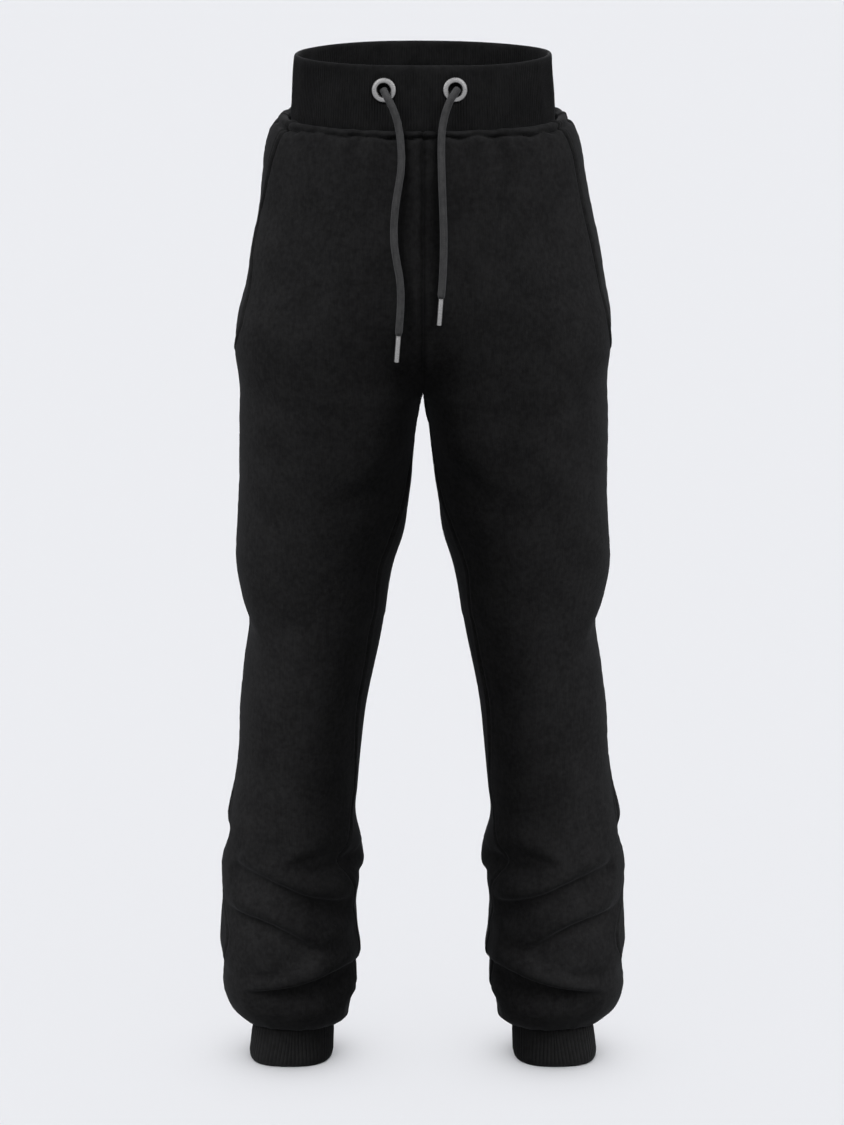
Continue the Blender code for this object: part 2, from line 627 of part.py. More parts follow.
def material(name, colour, roughness, metallic):
    """A plain Principled material."""
    made = bpy.data.materials.new(name)
    made.use_nodes = True
    shader = made.node_tree.nodes["Principled BSDF"]
    shader.inputs["Base Color"].default_value = (*colour, 1.0)
    shader.inputs["Roughness"].default_value = roughness
    shader.inputs["Metallic"].default_value = metallic
    return made


def main():
    for thing in list(bpy.data.objects):
        bpy.data.objects.remove(thing)
    fleece = material("brushed_fleece", (0.012, 0.012, 0.013), 0.9, 0.0)
    rib = material("rib_knit", (0.013, 0.013, 0.013), 0.92, 0.0)
    cotton = material("round_cord", (0.040, 0.040, 0.042), 0.85, 0.0)
    metal = material("satin_metal", (0.62, 0.61, 0.60), 0.28, 1.0)
    for side, word in ((1, "left"), (-1, "right")):
        points, normals, front = make_panels(side, word, fleece)
        make_pocket(side, word, points, normals, front, fleece)
        make_tube(f"cuff_{word}", CUFF_RINGS, CUFF_COLUMNS, CUFF_DOUBLE, side * CUFF_CENTRE,
                  side * CUFF_LEAN, None, rib)
        make_cord(word, cotton, metal)
    band = make_tube("waistband", BAND_RINGS, BAND_COLUMNS, RIB_DOUBLE, 0.0, 0.0, BAND_TOP, rib)
    make_eyelets(band, metal)


main()
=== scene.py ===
"""Looks of hollow jogger sweatpants, filled out as worn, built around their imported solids.

Tables are in millimetres: heights are above the hems of the cuffs, widths are from the centre
plane, depths are -Y at the front. +X is the wearer's left.
"""
import json
import math
from collections import namedtuple

import bmesh
import bpy
import numpy as np
from mathutils import Matrix, Vector

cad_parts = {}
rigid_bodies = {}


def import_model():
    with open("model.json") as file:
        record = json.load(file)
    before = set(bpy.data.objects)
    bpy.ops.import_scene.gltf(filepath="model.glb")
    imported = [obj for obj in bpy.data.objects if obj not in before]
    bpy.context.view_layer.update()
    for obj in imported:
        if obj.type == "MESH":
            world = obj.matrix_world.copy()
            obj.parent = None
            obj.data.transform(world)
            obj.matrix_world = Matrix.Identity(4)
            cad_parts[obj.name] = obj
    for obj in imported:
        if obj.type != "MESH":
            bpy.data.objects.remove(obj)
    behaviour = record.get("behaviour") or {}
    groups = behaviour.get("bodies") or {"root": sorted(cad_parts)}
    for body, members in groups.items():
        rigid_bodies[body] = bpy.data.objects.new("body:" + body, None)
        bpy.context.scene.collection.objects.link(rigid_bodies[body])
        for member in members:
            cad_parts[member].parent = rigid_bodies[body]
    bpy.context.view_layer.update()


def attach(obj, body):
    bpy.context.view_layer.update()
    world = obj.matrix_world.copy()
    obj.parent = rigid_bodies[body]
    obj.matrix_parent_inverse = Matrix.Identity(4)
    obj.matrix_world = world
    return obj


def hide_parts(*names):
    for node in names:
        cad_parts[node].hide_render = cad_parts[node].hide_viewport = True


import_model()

MM = 0.001

# The solids' own driving dimensions
ORIGIN_HEIGHT = 988.0
FORK_HEIGHT = 690.0
LEGS_PART = 695.0
FRONT_RISE = 110.0
BACK_RISE = 150.0
CLOTH = 2.2
RIB_DOUBLE = 5.0
CUFF_DOUBLE = 3.4
SEAM_GAP = 0.3
SEAM_CLOSED = 0.15           # inside, neighbouring panels run into each other by this much
HIP_POWER = 0.9
SEAT_POWER = 0.5
SEAT_HEIGHT = 200.0
SEAT_RISE_POWER = 0.6
CROTCH_POWER = 4
FACING_START = 520.0
THIGH_POWER = 0.55
OUTER_POWER = 0.95
POCKET_CLOTH = 1.8
POCKET_TUCK = 2.0
POCKET_BOTTOM = 711.0
STRETCH_WORDS = ("shin", "knee", "thigh", "hip")    # a panel's solid is divided into these

# The pockets as they are only here, and where the legs meet
POCKET_CLEARANCE = 1.6
POUCH_EDGE = 1.5
POUCH_WIDTH = 12.0
POUCH_BEHIND = 52.0          # dense columns that the pouch goes back behind the front's edge
POCKET_BELOW_TOP = 0.2       # how far below the panels' top edge the pocket ends
POCKET_OPENS = 12.0          # the height over which the mouth opens
POCKET_LEVEL = 14.0          # nearer the top than this, it is sunk in the direction found here
POCKET_SEED = 61
FACING_RISE_START = 1.6      # how far beyond the mouth the facing starts to come up
FACING_RISE = 3.4            # within how far it does
FACING_RISE_SHARE = 0.75     # the rest of its rise is spread to the side seam
LEAST_INNER = 0.3            # what stays between the two legs and the centre plane

Section = namedtuple("Section", "height inner outer_right outer_left front back inseam outseam")
SECTIONS = [Section(*row) for row in (
    (34, 88.2, 178.6, 178.6, -47.8, 48, 0, 0),
    (41, 79.6, 186.6, 186.6, -57, 57, 0, 0),
    (52, 75, 196.5, 196.5, -67, 69, 0, 0),
    (66, 70.2, 202.5, 202.5, -75, 78, -2, 0),
    (82, 67, 205.2, 205.2, -79, 83, -6, -4),
    (98, 65.3, 205.6, 205.6, -81, 86, -10, -16),
    (114, 65.5, 206, 206, -81.5, 87, -12, -30),
    (130, 66.3, 206.4, 206.4, -81, 87, -12, -41),
    (146, 67.5, 206.4, 206.4, -80, 86, -14, -43),
    (162, 68.7, 205, 205, -79.5, 85.5, -20, -34),
    (178, 67, 204, 204, -80, 86, -26, -20),
    (194, 63.3, 203.7, 203.7, -81, 87, -34, -6),
    (210, 60.7, 203.4, 203.4, -82, 87, -46, 0),
    (228, 62.7, 202.1, 202.1, -82, 86, -52, -8),
    (250, 69.2, 199.8, 199.8, -81.5, 85, -36, -20),
    (288, 66.4, 192.2, 192.2, -81, 84, -22, -10),
    (332, 62.1, 185.5, 185.5, -81.5, 85, -32, 0),
    (376, 57, 183.4, 183.4, -82.5, 88, -40, 2),
    (420, 48.9, 178.4, 178.4, -84.5, 90, -43, 2),
    (463, 39.5, 175.3, 175.3, -87.5, 89, -45, 2),
    (491, 35.5, 179.9, 179.9, -90, 89, -48, 2),
    (520, 29.4, 185.6, 185.6, -93, 91, -53, 2),
    (549, 20.4, 185.2, 185.2, -96, 95, -55, 3),
    (600, 11.8, 182.2, 182.2, -102, 104, -48, 4),
    (680, 3.6, 180.5, 180.7, -111, 119, -37, 6),
    (690, 1.9, 180.2, 180.6, -112, 121, -35, 6),
    (695.5, 0, 180.3, 180.6, -112.8, 122.5, -35, 6),
    (711, 0, 181.4, 181.2, -114.5, 127, -35, 6),
    (735, 0, 184.2, 183.7, -117, 133, -35, 7),
    (766, 0, 181.8, 184, -119, 138, -35, 8),
    (800, 0, 172.6, 177.5, -120, 140.5, -35, 9),
    (835, 0, 167, 172, -119.5, 140.5, -35, 10),
    (870, 0, 159.8, 165, -118, 137, -35, 10),
    (905, 0, 156, 157.8, -116, 131, -35, 8),
    (932, 0, 152.5, 152.5, -113.7, 124, -35, 6),
    (948, 0, 147, 147, -111.8, 117.5, -35, 4),
    (957, 0, 140.5, 140.5, -109.6, 111.5, -35, 2),
    (961.5, 0, 134, 134, -106.2, 106.8, -35, 1),
    (959.5, 0, 129.8, 129.8, -102.4, 102.7, -35, 0),
)]
# Where a front ends, as a share of the way to the outseam; further out at the top than in the
# solids
Mouth = namedtuple("Mouth", "height right left")
MOUTH = [Mouth(*row) for row in (
    (735, 1, 1),
    (766, 0.972, 0.978),
    (800, 0.976, 0.968),
    (835, 0.988, 0.960),
    (870, 0.990, 0.957),
    (905, 0.968, 0.955),
    (932, 0.945, 0.950),
    (948, 0.938, 0.943),
    (962, 0.935, 0.940),
)]
# How much a level dips forwards at each height; near the waist less than in the solids
Tilt = namedtuple("Tilt", "height slope")
TILT = [Tilt(*row) for row in (
    (0, 0),
    (36, -0.16),
    (110, 0),
    (850, 0),
    (960, 0.080),
    (1020, 0.07),
)]
Ring = namedtuple("Ring", "height half_width half_depth power")
BAND_RINGS = [Ring(*row) for row in (
    (955, 128.9, 101.4, HIP_POWER),
    (972, 126.8, 99.9, HIP_POWER),
    (998, 125.2, 98.5, HIP_POWER),
    (1017, 124.3, 97.6, HIP_POWER),
)]
BAND_BOTTOM = 955.0
CUFF_RINGS = [Ring(*row) for row in (
    (0.4, 42.2, 44.2, 0.74),
    (6, 43.2, 45.1, 0.77),
    (26, 42.3, 43.7, 0.90),
    (39, 41, 42.4, 0.92),
)]
CUFF_CENTRE = 133.0
CUFF_LEAN = 3.2

Eyelet = namedtuple("Eyelet", "word across height")
EYELETS = (Eyelet("right", -36.6, 990.4), Eyelet("left", 30.0, 990.9))
EYELET_LIFT = 0.45
CORD_DIAMETER = 7.3
Route = namedtuple("Route", "across depth height")
ROUTES = {
    "right": [Route(*row) for row in (
        (-37.2, -99.6, 991.6), (-35.4, -102.4, 988.2), (-33.3, -105.4, 984.2),
        (-30.6, -107.7, 979.6), (-27.7, -109, 973.6), (-24.9, -109.8, 965.6),
        (-22.5, -111.2, 955.5), (-20.9, -114.3, 943.5), (-20.2, -117, 930.5),
        (-20.8, -119.2, 917), (-23, -121, 902.5), (-25.6, -122.6, 886),
        (-27.2, -123.5, 867.5), (-26.9, -124.2, 849), (-24.6, -124.8, 833),
        (-22, -125, 818), (-20.9, -125, 802), (-21.4, -124.8, 786),
        (-23.1, -124.4, 763.4),
    )],
    "left": [Route(*row) for row in (
        (32.4, -99.6, 992), (29.8, -102.5, 988.6), (27, -105.5, 984.6),
        (24.2, -107.8, 979.4), (21.6, -109.1, 972.6), (19.4, -109.9, 964.2),
        (17.8, -111.4, 954.6), (17.1, -114.5, 942.6), (17.1, -117.2, 928.5),
        (17.5, -119.8, 912), (18.1, -121.8, 894.5), (18.8, -123.3, 877),
        (19.3, -124.1, 859.5), (19.2, -124.6, 840), (18.4, -125, 819),
        (16.9, -124.9, 798.5),
    )],
}
AGLET_RADIUS = 2.6
AGLET_LENGTH = 25.0
# Profiles of radius and height, turned about their own axis
EYELET_PROFILE = (
    (6.25, -2.2), (6.25, -0.4), (6.28, 0.5), (6.5, 1.15), (6.95, 1.55), (7.6, 1.80),
    (8.4, 1.88), (9.2, 1.78), (10.0, 1.50), (10.7, 1.10), (11.2, 0.65), (11.45, 0.25),
    (11.4, 0.0), (11.1, -0.1), (10.4, 0.0), (7.2, 0.0), (6.9, -0.3), (6.9, -2.2),
)
AGLET_PROFILE = (
    (2.15, 0.15), (2.3, 0.0), (2.5, 0.05), (AGLET_RADIUS, 0.3), (AGLET_RADIUS, 1.0),
    (2.52, 1.3), (2.52, 1.7), (AGLET_RADIUS, 2.0), (AGLET_RADIUS, AGLET_LENGTH - 0.9),
    (2.55, AGLET_LENGTH - 0.45), (2.35, AGLET_LENGTH - 0.1), (2.1, AGLET_LENGTH),
    (1.85, AGLET_LENGTH - 0.15), (1.8, AGLET_LENGTH - 1.6),
)

WAIST_STITCH = 13.5          # the waist's line of stitches below the top edge, along the cloth
MOUTH_STITCH = 7.2           # the pocket mouth's line of stitches from its edge

# The fine meshes of the cloth
DENSE = 192                  # points along a front or back section before it is divided
FRONT_COLUMNS = 104
BACK_COLUMNS = 112
POCKET_BEHIND = 14
POCKET_BEYOND = 26
EDGE_CROWDING = 0.5          # 0 spaces the columns evenly, towards 1 crowds them at the seams
Pace = namedtuple("Pace", "height step")
PACES = [Pace(*row) for row in (    # millimetres between rows at each height
    (34, 1.6), (60, 2.4), (250, 2.8), (300, 5), (670, 5),
    (692, 1.6), (720, 3), (760, 5), (880, 4.5), (925, 2),
    (962, 1.2),
)]

# The fleece pieces' random seeds, and the cloth's slack and pleats
PANEL_SEEDS = {"left": 20, "right": 40}
SLACK_SEEDS = {"left": 11, "right": 12}
SLACK_HEIGHT = 0.75          # the cloth's own unevenness
SLACK_WAVES = (190.0, 70.0)  # its longest and shortest waves
SLACK_CLEAR = 30.0           # none of it this near the top; then how fast it comes in
SLACK_FADE_TOP = 60.0
SLACK_FADE_FOOT = 40.0
PLEATS = ((1.0, 13.0, 1.3), (0.8, 19.0, 0.4), (0.6, 29.0, 0.0))    # share, waves round, phase
PLEAT_HEIGHT = 0.28
PLEAT_LENGTH = 17.0
# Rows of ridges, or grooves where the height is negative: height, distance from the edge, width
SEAM_RIDGES = ((-1.35, 0.0, 1.8), (0.42, 5.0, 3.0))
MOUTH_RIDGES = ((1.4, 3.3, 2.3), (-1.5, MOUTH_STITCH, 1.2), (-0.7, 0.0, 1.1), (0.2, 10.5, 2.8))
PUCKER = 0.22
MOUTH_BLEND_BELOW = 8.0      # how far below the mouth the outseam starts to turn into its hem
MOUTH_BLEND = 22.0
FOOT_DIP = 1.5               # how wide the panels' lower edge bends in
STITCH_WANDER = 1.5          # how far the waist's line of stitches strays
GROOVE_DEPTH = 3.0           # of the groove along it
GROOVE_WIDTHS = (3.4, 1.3)   # below the stitches and above them
ROLL_HEIGHT = 1.6            # the rolled edge above them
ROLL_MIDDLE = 4.6
ROLL_WIDTH = 2.9
STITCH_PITCH = 3.3
STITCH_LENGTH = 2.7
STITCH_SIDES = 6
STITCH_LIFTS = np.array([-0.15, 0.16, 0.24, 0.16, -0.15]) * MM
STITCH_RADII = np.array([0.10, 0.27, 0.30, 0.27, 0.10]) * MM
BAND_RIBS = 280
BAND_RIB_COLUMNS = 4
RIB_DEPTH = 0.60
BAND_GAP_OUTSIDE = 0.9       # between its face and the two faces of the cloth that meets it
BAND_GAP_INSIDE = 0.3
BAND_PUFF = 0.75
BAND_SWAY = 0.55             # how unevenly its top edge runs
SWAY_START = 985.0
BAND_FADE = 9.0              # its ribs fade within this at its lower edge and above BAND_FADE_TOP
BAND_FADE_TOP = 1010.0
BAND_EDGE_DIP = (-0.9, 958.0, 4.0)
BAND_INNER_RIDGES = ((0.9, 996.0, 1.1), (0.9, 991.0, 1.1))    # two lines of stitches inside it
DIMPLES = ((3.4, 8.0, 1.2), (0.42, 14.0, 3.5))    # round an eyelet: depth, radius, softness
DIMPLE_RIM = (0.35, 17.0, 4.0)
CUFF_RIBS = 72
CUFF_RIB_COLUMNS = 6
CUFF_RIB_DEPTH = 0.62
CUFF_UNEVEN = 0.30
CORD_PITCH = 1.7             # one knitted stitch along the cord
CORD_WALES = 10              # columns of stitches round it
CORD_RELIEF = 0.34
CORD_TAPER = 3.4             # the length over which it narrows into the aglet

PALE = (0.847, 0.855, 0.888)
FLOOR_COLOUR = (0.800, 0.808, 0.840)
STAGE_RADIUS = 45.0
OPPOSITE = {"left": "right", "right": "left"}
Lamp = namedtuple("Lamp", "name strength width elevation azimuth lit shading")
# Angles in degrees, the azimuth from the front; then what a lamp lights and what shades it
LAMPS = [Lamp(*row) for row in (
    ("top_front", 0.65, 45, 50, 0, "cloth", "all"),
    ("front_fill", 0.12, 90, 5, 0, "cloth", "all"),
    ("beside_right_leg", 2.9, 40, 40, -55, "right", "all"),
    ("beside_left_leg", 2.9, 40, 40, 55, "left", "all"),
    ("behind", 1.2, 25, 12, 180, "cloth", "all"),
    ("sky", 0.45, 150, 90, 0, "cloth", "all"),
    ("floor_far", 0.35, 110, 90, 0, "floor", "all"),
    ("floor_near", 2.95, 140, 90, 0, "floor", "cuffs"),
)]
LowFill = namedtuple("LowFill", "power size place")
# What a pale floor would throw back at the lower legs
LOW_FILL = LowFill(0.9, 0.4, (0.0, -0.6, -0.85))
CAMERA_LENS = 98.53
CAMERA_PLACE = (-0.001, -3.0, 0.192)
CAMERA_PITCH = 12.45
# Cloth materials: name, slot, dark and light colour, sheen and grain
CLOTHS = (
    ("fleece_finish", "brushed_fleece", (0.0084, 0.0084, 0.0087), (0.0160, 0.0160, 0.0165),
     0.05, 0.40),
    ("rib_finish", "rib_knit", (0.0085, 0.0085, 0.0087), (0.0135, 0.0135, 0.0138), 0.10, 0.22),
    # The waistband's rib is the same rib knit painted darker: painted shade on the waistband
    ("waist_rib_finish", "rib_knit", (0.0050, 0.0050, 0.0052), (0.0090, 0.0090, 0.0093),
     0.06, 0.26),
    ("cord_finish", "round_cord", (0.028, 0.028, 0.029), (0.044, 0.044, 0.045), 0.22, 0.20),
    ("thread_finish", "brushed_fleece", (0.010, 0.010, 0.010), (0.016, 0.016, 0.016), 0.1, 0.1),
)

# Creases placed one by one. Along a leg's round, 0 is the inseam, 1 the outseam and 2 the inseam
# again. Each path point carries the share of the full depth there. "above" and "below" are the
# trough's widths on its two sides, "crest" and "foot" the heights of the ridges there, and "sag"
# is how far the upper ridge hangs down. A negative depth makes a ridge of the trough.
Fold = namedtuple("Fold", "above below depth crest foot sag path")
FOLDS = [Fold(*row) for row in (
    # front of the lower leg, from the top down
    (9, 12, 5, 2.2, 1, 1, (
        (0.40, 219, 0), (0.30, 229, 0.6), (0.20, 234, 0.9), (0.08, 232, 1),
        (-0.02, 226, 1), (-0.12, 222, 0.6), (-0.25, 220, 0))),
    (7, 9, 3, 1, 1.4, 0.5, (
        (0.30, 219, 0), (0.18, 218, 0.7), (0.04, 220, 1), (-0.06, 224, 0.4))),
    (6.5, 9.5, 5.4, 2.4, 1.4, 1.6, (
        (0.76, 222, 0), (0.70, 218, 0.6), (0.60, 214.5, 0.8), (0.50, 209.5, 0.9),
        (0.42, 202, 1), (0.36, 193.5, 1), (0.30, 187.5, 1), (0.22, 182.5, 0.9),
        (0.14, 178.5, 0.7), (0.04, 176, 0))),
    (6, 9, 5, 2.2, 1.2, 1.6, (
        (0.95, 172, 0), (0.87, 169, 0.4), (0.78, 168, 1), (0.68, 166, 1),
        (0.61, 161.5, 1), (0.55, 154.5, 1), (0.50, 146, 1), (0.44, 136.5, 0.8),
        (0.38, 128, 0))),
    (5.5, 7, 1.9, 0.7, 0.7, 0.6, (
        (0.80, 116, 0), (0.74, 111, 0.7), (0.68, 109, 1), (0.61, 110.5, 0.8),
        (0.54, 113, 0))),
    (6, 15, 8.6, 3.4, 0.8, 3.6, (
        (0.72, 83, 0), (0.64, 85.5, 0.5), (0.56, 89.5, 0.9), (0.48, 94, 1),
        (0.40, 99, 1), (0.30, 104.5, 1), (0.18, 106, 0.9), (0.05, 103, 0.5),
        (-0.08, 104, 0.3), (-0.20, 110, 0))),
    (9, 9, 2.6, 0.8, 1.6, 0, (
        (0.62, 82, 0), (0.48, 84, 0.6), (0.34, 84, 1), (0.22, 86, 1),
        (0.12, 92, 0.7), (0.04, 98, 0))),
    (8, 8, 2.8, 1.2, 1.2, 0.5, (
        (0.16, 57, 0), (0.06, 60, 0.8), (-0.04, 64, 1), (-0.14, 66, 0.5),
        (-0.24, 66, 0))),
    (11, 5.5, -1.7, 0, 0, 0, (
        (0.42, 138, 0), (0.30, 147, 0.9), (0.16, 152, 1), (0.04, 150, 0.6),
        (-0.06, 148, 0))),
    # its outer side
    (9, 8, 1.4, 0.5, 0.4, 0, (
        (0.86, 96, 0), (0.94, 100, 0.8), (1.02, 104, 1), (1.12, 112, 0.9),
        (1.24, 124, 0))),
    (11, 11, 3, 1.4, 1, 0.6, (
        (0.92, 250, 0), (1.00, 246, 0.9), (1.10, 240, 1), (1.22, 236, 0))),
    # back of the lower leg
    (8, 11, 6.2, 2.6, 1.4, 2, (
        (1.08, 214, 0), (1.18, 218, 0.8), (1.30, 215, 1), (1.42, 206, 1),
        (1.54, 196, 1), (1.66, 190, 0.8), (1.78, 192, 0))),
    (7.5, 10, 4.8, 2, 1.2, 1.4, (
        (1.92, 199, 0), (1.85, 191, 0.6), (1.76, 180, 1), (1.66, 172, 0.8),
        (1.54, 168, 0))),
    (7, 11, 6, 2.6, 1.4, 2, (
        (1.12, 164, 0), (1.20, 156, 0.7), (1.28, 148, 1), (1.38, 141, 1),
        (1.50, 138, 0.9), (1.62, 142, 0.6), (1.72, 149, 0))),
    (7, 13, 7.2, 2.8, 1, 2.6, (
        (1.16, 86, 0), (1.28, 88, 0.8), (1.40, 94, 1), (1.52, 99, 1),
        (1.64, 99, 1), (1.76, 101, 0.8), (1.88, 108, 0))),
    (8, 9, 3.2, 1.2, 1, 0.8, (
        (1.40, 120, 0), (1.50, 117, 0.9), (1.62, 121, 1), (1.72, 129, 0))),
    (12, 12, 3.6, 1.6, 1, 0.8, (
        (1.20, 262, 0), (1.32, 256, 0.9), (1.46, 254, 1), (1.60, 260, 0.7),
        (1.74, 270, 0))),
    # behind and beside the knee
    (15, 14, 5, 2.2, 1.6, 1.2, (
        (1.20, 494, 0), (1.32, 486, 0.9), (1.46, 480, 1), (1.60, 474, 0.8),
        (1.76, 468, 0))),
    (13, 13, 3.8, 1.8, 1.2, 0.8, (
        (1.24, 452, 0), (1.36, 444, 0.8), (1.48, 440, 1), (1.60, 444, 0.7),
        (1.72, 452, 0))),
    (15, 15, 3.8, 1.6, 1.4, 0.8, (
        (1.26, 532, 0), (1.40, 534, 0.9), (1.52, 540, 1), (1.64, 549, 0.6),
        (1.78, 560, 0))),
    (14, 13, 2.4, 1, 0.8, 0.4, (
        (1.30, 400, 0), (1.42, 392, 1), (1.56, 390, 0.9), (1.68, 396, 0))),
    (13, 12, 2, 1, 0.6, 0.4, (
        (1.04, 470, 0.3), (0.92, 464, 1), (0.80, 453, 0.9), (0.68, 443, 0.5),
        (0.56, 436, 0))),
    (12, 12, 1.6, 0.7, 0.6, 0.2, (
        (-0.10, 466, 0.4), (0.02, 462, 1), (0.14, 452, 0.8), (0.26, 446, 0))),
    # from the crotch and under the seat
    (13, 13, 2.2, 1, 1, 0, (
        (0.06, 640, 0), (0.13, 628, 1), (0.26, 606, 0.7), (0.40, 580, 0))),
    (15, 15, 4.2, 1.8, 1.4, 0.4, (
        (1.95, 652, 0), (1.86, 644, 1), (1.72, 634, 0.9), (1.56, 630, 0.6),
        (1.38, 636, 0))),
    (15, 14, 3, 1.4, 1, 0.4, (
        (1.95, 612, 0), (1.87, 600, 1), (1.74, 586, 0.7), (1.60, 576, 0))),
    (16, 16, 2.2, 1, 0.8, 0.2, (
        (1.04, 690, 0), (1.16, 676, 0.8), (1.30, 668, 1), (1.46, 666, 0))),
)]
# Soft gathers below the waistband: side, round, how low each reaches, its width and its depth.
Gather = namedtuple("Gather", "side around low width depth")
GATHERS = [Gather(*row) for row in (
    (-1, 0.29, 905, 7, 1.5), (-1, 0.36, 880, 8, -0.8),
    (-1, 0.66, 915, 6, 0.7), (-1, 0.12, 925, 6, 0.6),
    (1, 0.33, 878, 7.5, 1.6), (1, 0.40, 900, 7, -0.8),
    (1, 0.17, 922, 6, 0.7), (1, 0.68, 912, 6, 0.6),
    (-1, 1.16, 890, 9, 1.4), (-1, 1.30, 870, 10, 1.7),
    (-1, 1.47, 885, 9, 1.5), (-1, 1.62, 865, 11, 1.8),
    (-1, 1.80, 880, 9, 1.4), (1, 1.13, 882, 9, 1.5),
    (1, 1.27, 868, 10, 1.8), (1, 1.43, 890, 8, 1.3),
    (1, 1.58, 872, 11, 1.7), (1, 1.76, 886, 9, 1.5),
)]
FRONT_ROUND = 190.0          # millimetres of a lower leg's round in its front, and in its back
BACK_ROUND = 290.0
LEG_ROUND = FRONT_ROUND + BACK_ROUND
# What turns a fold's figures into relief: widths and places are multiples of "above" and
# "below", and gains are multiples of "depth", "crest", "foot" and "sag"
FOLD_REACH = 6.0
TROUGH_ABOVE = 0.85
TROUGH_BELOW = 2.1
DEPTH_GAIN = 1.45
RIDGE_WIDTH = 2.0
CREST_PLACE = 2.3
CREST_GAIN = 1.6
FOOT_PLACE = 3.4
FOOT_GAIN = 1.3
SAG_PLACE = 1.7
SAG_WIDTH = 1.3
SAG_GAIN = 0.35
GATHER_ROUND = 235.0         # millimetres round a panel at the waist
GATHER_END = 966.0
GATHER_FADE = 12.0
GATHER_SPREAD = 0.8
GATHER_BESIDE = 1.9


def soft_step(value):
    """0 below 0, 1 above 1, smooth between."""
    value = np.clip(value, 0.0, 1.0)
    return value * value * (3.0 - 2.0 * value)


def bump(value, width):
    """1 at 0 and falling smoothly to nothing about two widths away."""
    return np.exp(-(value / width) ** 2)


def slope_at(height):
    """The tilt's slope at a height."""
    return np.interp(height, *np.array(TILT).T)


def to_world(x, y, height):
    """A point in metres from the origin; the tilt lifts the section's back and lowers its front."""
    tilted = height + slope_at(height) * np.asarray(y)
    return np.stack([x * MM, y * MM, (tilted - ORIGIN_HEIGHT) * MM], axis=-1)


def oval(angles, centre_x, half_width, centre_y, half_depth, inner_power, outer_power):
    """Points of an oval; angle 0 is its inner side, 90 degrees the front and 180 the outer side."""
    cosine = np.cos(angles)
    sine = np.sin(angles)
    power = np.where(cosine > 0.0, inner_power, outer_power)
    x = centre_x - half_width * np.sign(cosine) * np.abs(cosine) ** power
    y = centre_y - half_depth * np.sign(sine) * np.abs(sine) ** power
    return np.stack([x, y], axis=-1)


def unit(vectors):
    """The vectors at length 1."""
    return vectors / np.linalg.norm(vectors, axis=-1, keepdims=True)


def lengths_along(line):
    """How far along a line each of its points lies."""
    steps = np.linalg.norm(np.diff(line, axis=0), axis=1)
    return np.concatenate([[0.0], np.cumsum(steps)])


def at_places(places, along, rows):
    """Rows of values at places along a line."""
    return np.stack([np.interp(places, along, column) for column in rows.T], axis=-1)


def divide(points, fractions):
    """The points at these fractions of a line's length."""
    along = lengths_along(points)
    return at_places(fractions, along / along[-1], points)


def depth_angle(section, depth, power):
    """The angle from the inner or outer side at which an oval reaches a depth."""
    middle = (section.front + section.back) / 2
    half_depth = (section.back - section.front) / 2
    share = (middle - depth) / half_depth
    return math.copysign(math.asin(abs(share) ** (1.0 / power)), share)


def seat_blend(height, rise, share):
    """From 0, the leg's own oval, to 1, the hip's; it rises as a J beside the crotch seam."""
    part = np.clip((height - FORK_HEIGHT) / rise, 0.0, 1.0)
    smooth = soft_step(part ** SEAT_RISE_POWER)
    curved = np.sqrt(1.0 - (1.0 - part) ** 2)
    return smooth + (curved - smooth) * (1.0 - share) ** CROTCH_POWER


def oval_line(angles, shape):
    """A line along an oval through three angles, in two stretches of equal point counts."""
    stretches = []
    for first, last in zip(angles, angles[1:]):
        points = oval(np.linspace(first, last, 4 * DENSE + 1), *shape)
        stretches.append(divide(points, np.linspace(0.0, 1.0, DENSE // 2 + 1)))
    return np.concatenate([stretches[0], stretches[1][1:]])


def section_line(section, outer, back):
    """The front or back of one side's section, from its crotch seam or inseam to its outseam."""
    middle = (section.front + section.back) / 2
    half_depth = (section.back - section.front) / 2
    centre = (section.inner + outer) / 2
    facing = soft_step((section.height - FACING_START) / (FORK_HEIGHT - FACING_START))
    inner_power = 1.0 + (THIGH_POWER - 1.0) * facing
    inseam = depth_angle(section, section.inseam, inner_power)
    outseam = math.pi - depth_angle(section, section.outseam, OUTER_POWER)
    deepest = math.pi * 1.5 if back else math.pi * 0.5
    turns = (inseam + 2.0 * math.pi * back, deepest, outseam)
    shape = (centre, (outer - section.inner) / 2, middle, half_depth, inner_power, OUTER_POWER)
    line = oval_line(turns, shape)
    if section.height > FORK_HEIGHT:
        high = soft_step((section.height - FORK_HEIGHT) / SEAT_HEIGHT)
        power = SEAT_POWER + (HIP_POWER - SEAT_POWER) * high
        beside = math.acos((centre / outer) ** (1.0 / power))
        turns = (deepest, math.pi + (beside if back else -beside), outseam)
        hip = oval_line(turns, (0.0, outer, middle, half_depth, power, power))
        share = np.linspace(0.0, 1.0, len(line))
        weight = seat_blend(section.height, BACK_RISE if back else FRONT_RISE, share)
        line += (hip - line) * weight[:, None]
        if section.inner == 0.0:
            line[0, 0] = 0.0
    return divide(line, np.linspace(0.0, 1.0, DENSE + 1))


def smooth_rows(knots, values, places):
    """Values at places along knots, on a smooth curve through the values there."""
    gaps = np.diff(knots)[:, None]
    slopes = np.diff(values, axis=0) / gaps
    tangents = np.empty_like(values)
    tangents[1:-1] = (gaps[1:] * slopes[:-1] + gaps[:-1] * slopes[1:]) / (gaps[1:] + gaps[:-1])
    tangents[0] = slopes[0]
    tangents[-1] = slopes[-1]
    at = np.clip(np.searchsorted(knots, places, side="right") - 1, 0, len(knots) - 2)
    part = ((places - knots[at]) / gaps[at, 0])[:, None]
    rise = part * part * (3.0 - 2.0 * part)
    leave = part * (1.0 - part) ** 2
    arrive = part * part * (part - 1.0)
    return (values[at] * (1.0 - rise) + values[at + 1] * rise
            + (tangents[at] * leave + tangents[at + 1] * arrive) * gaps[at])


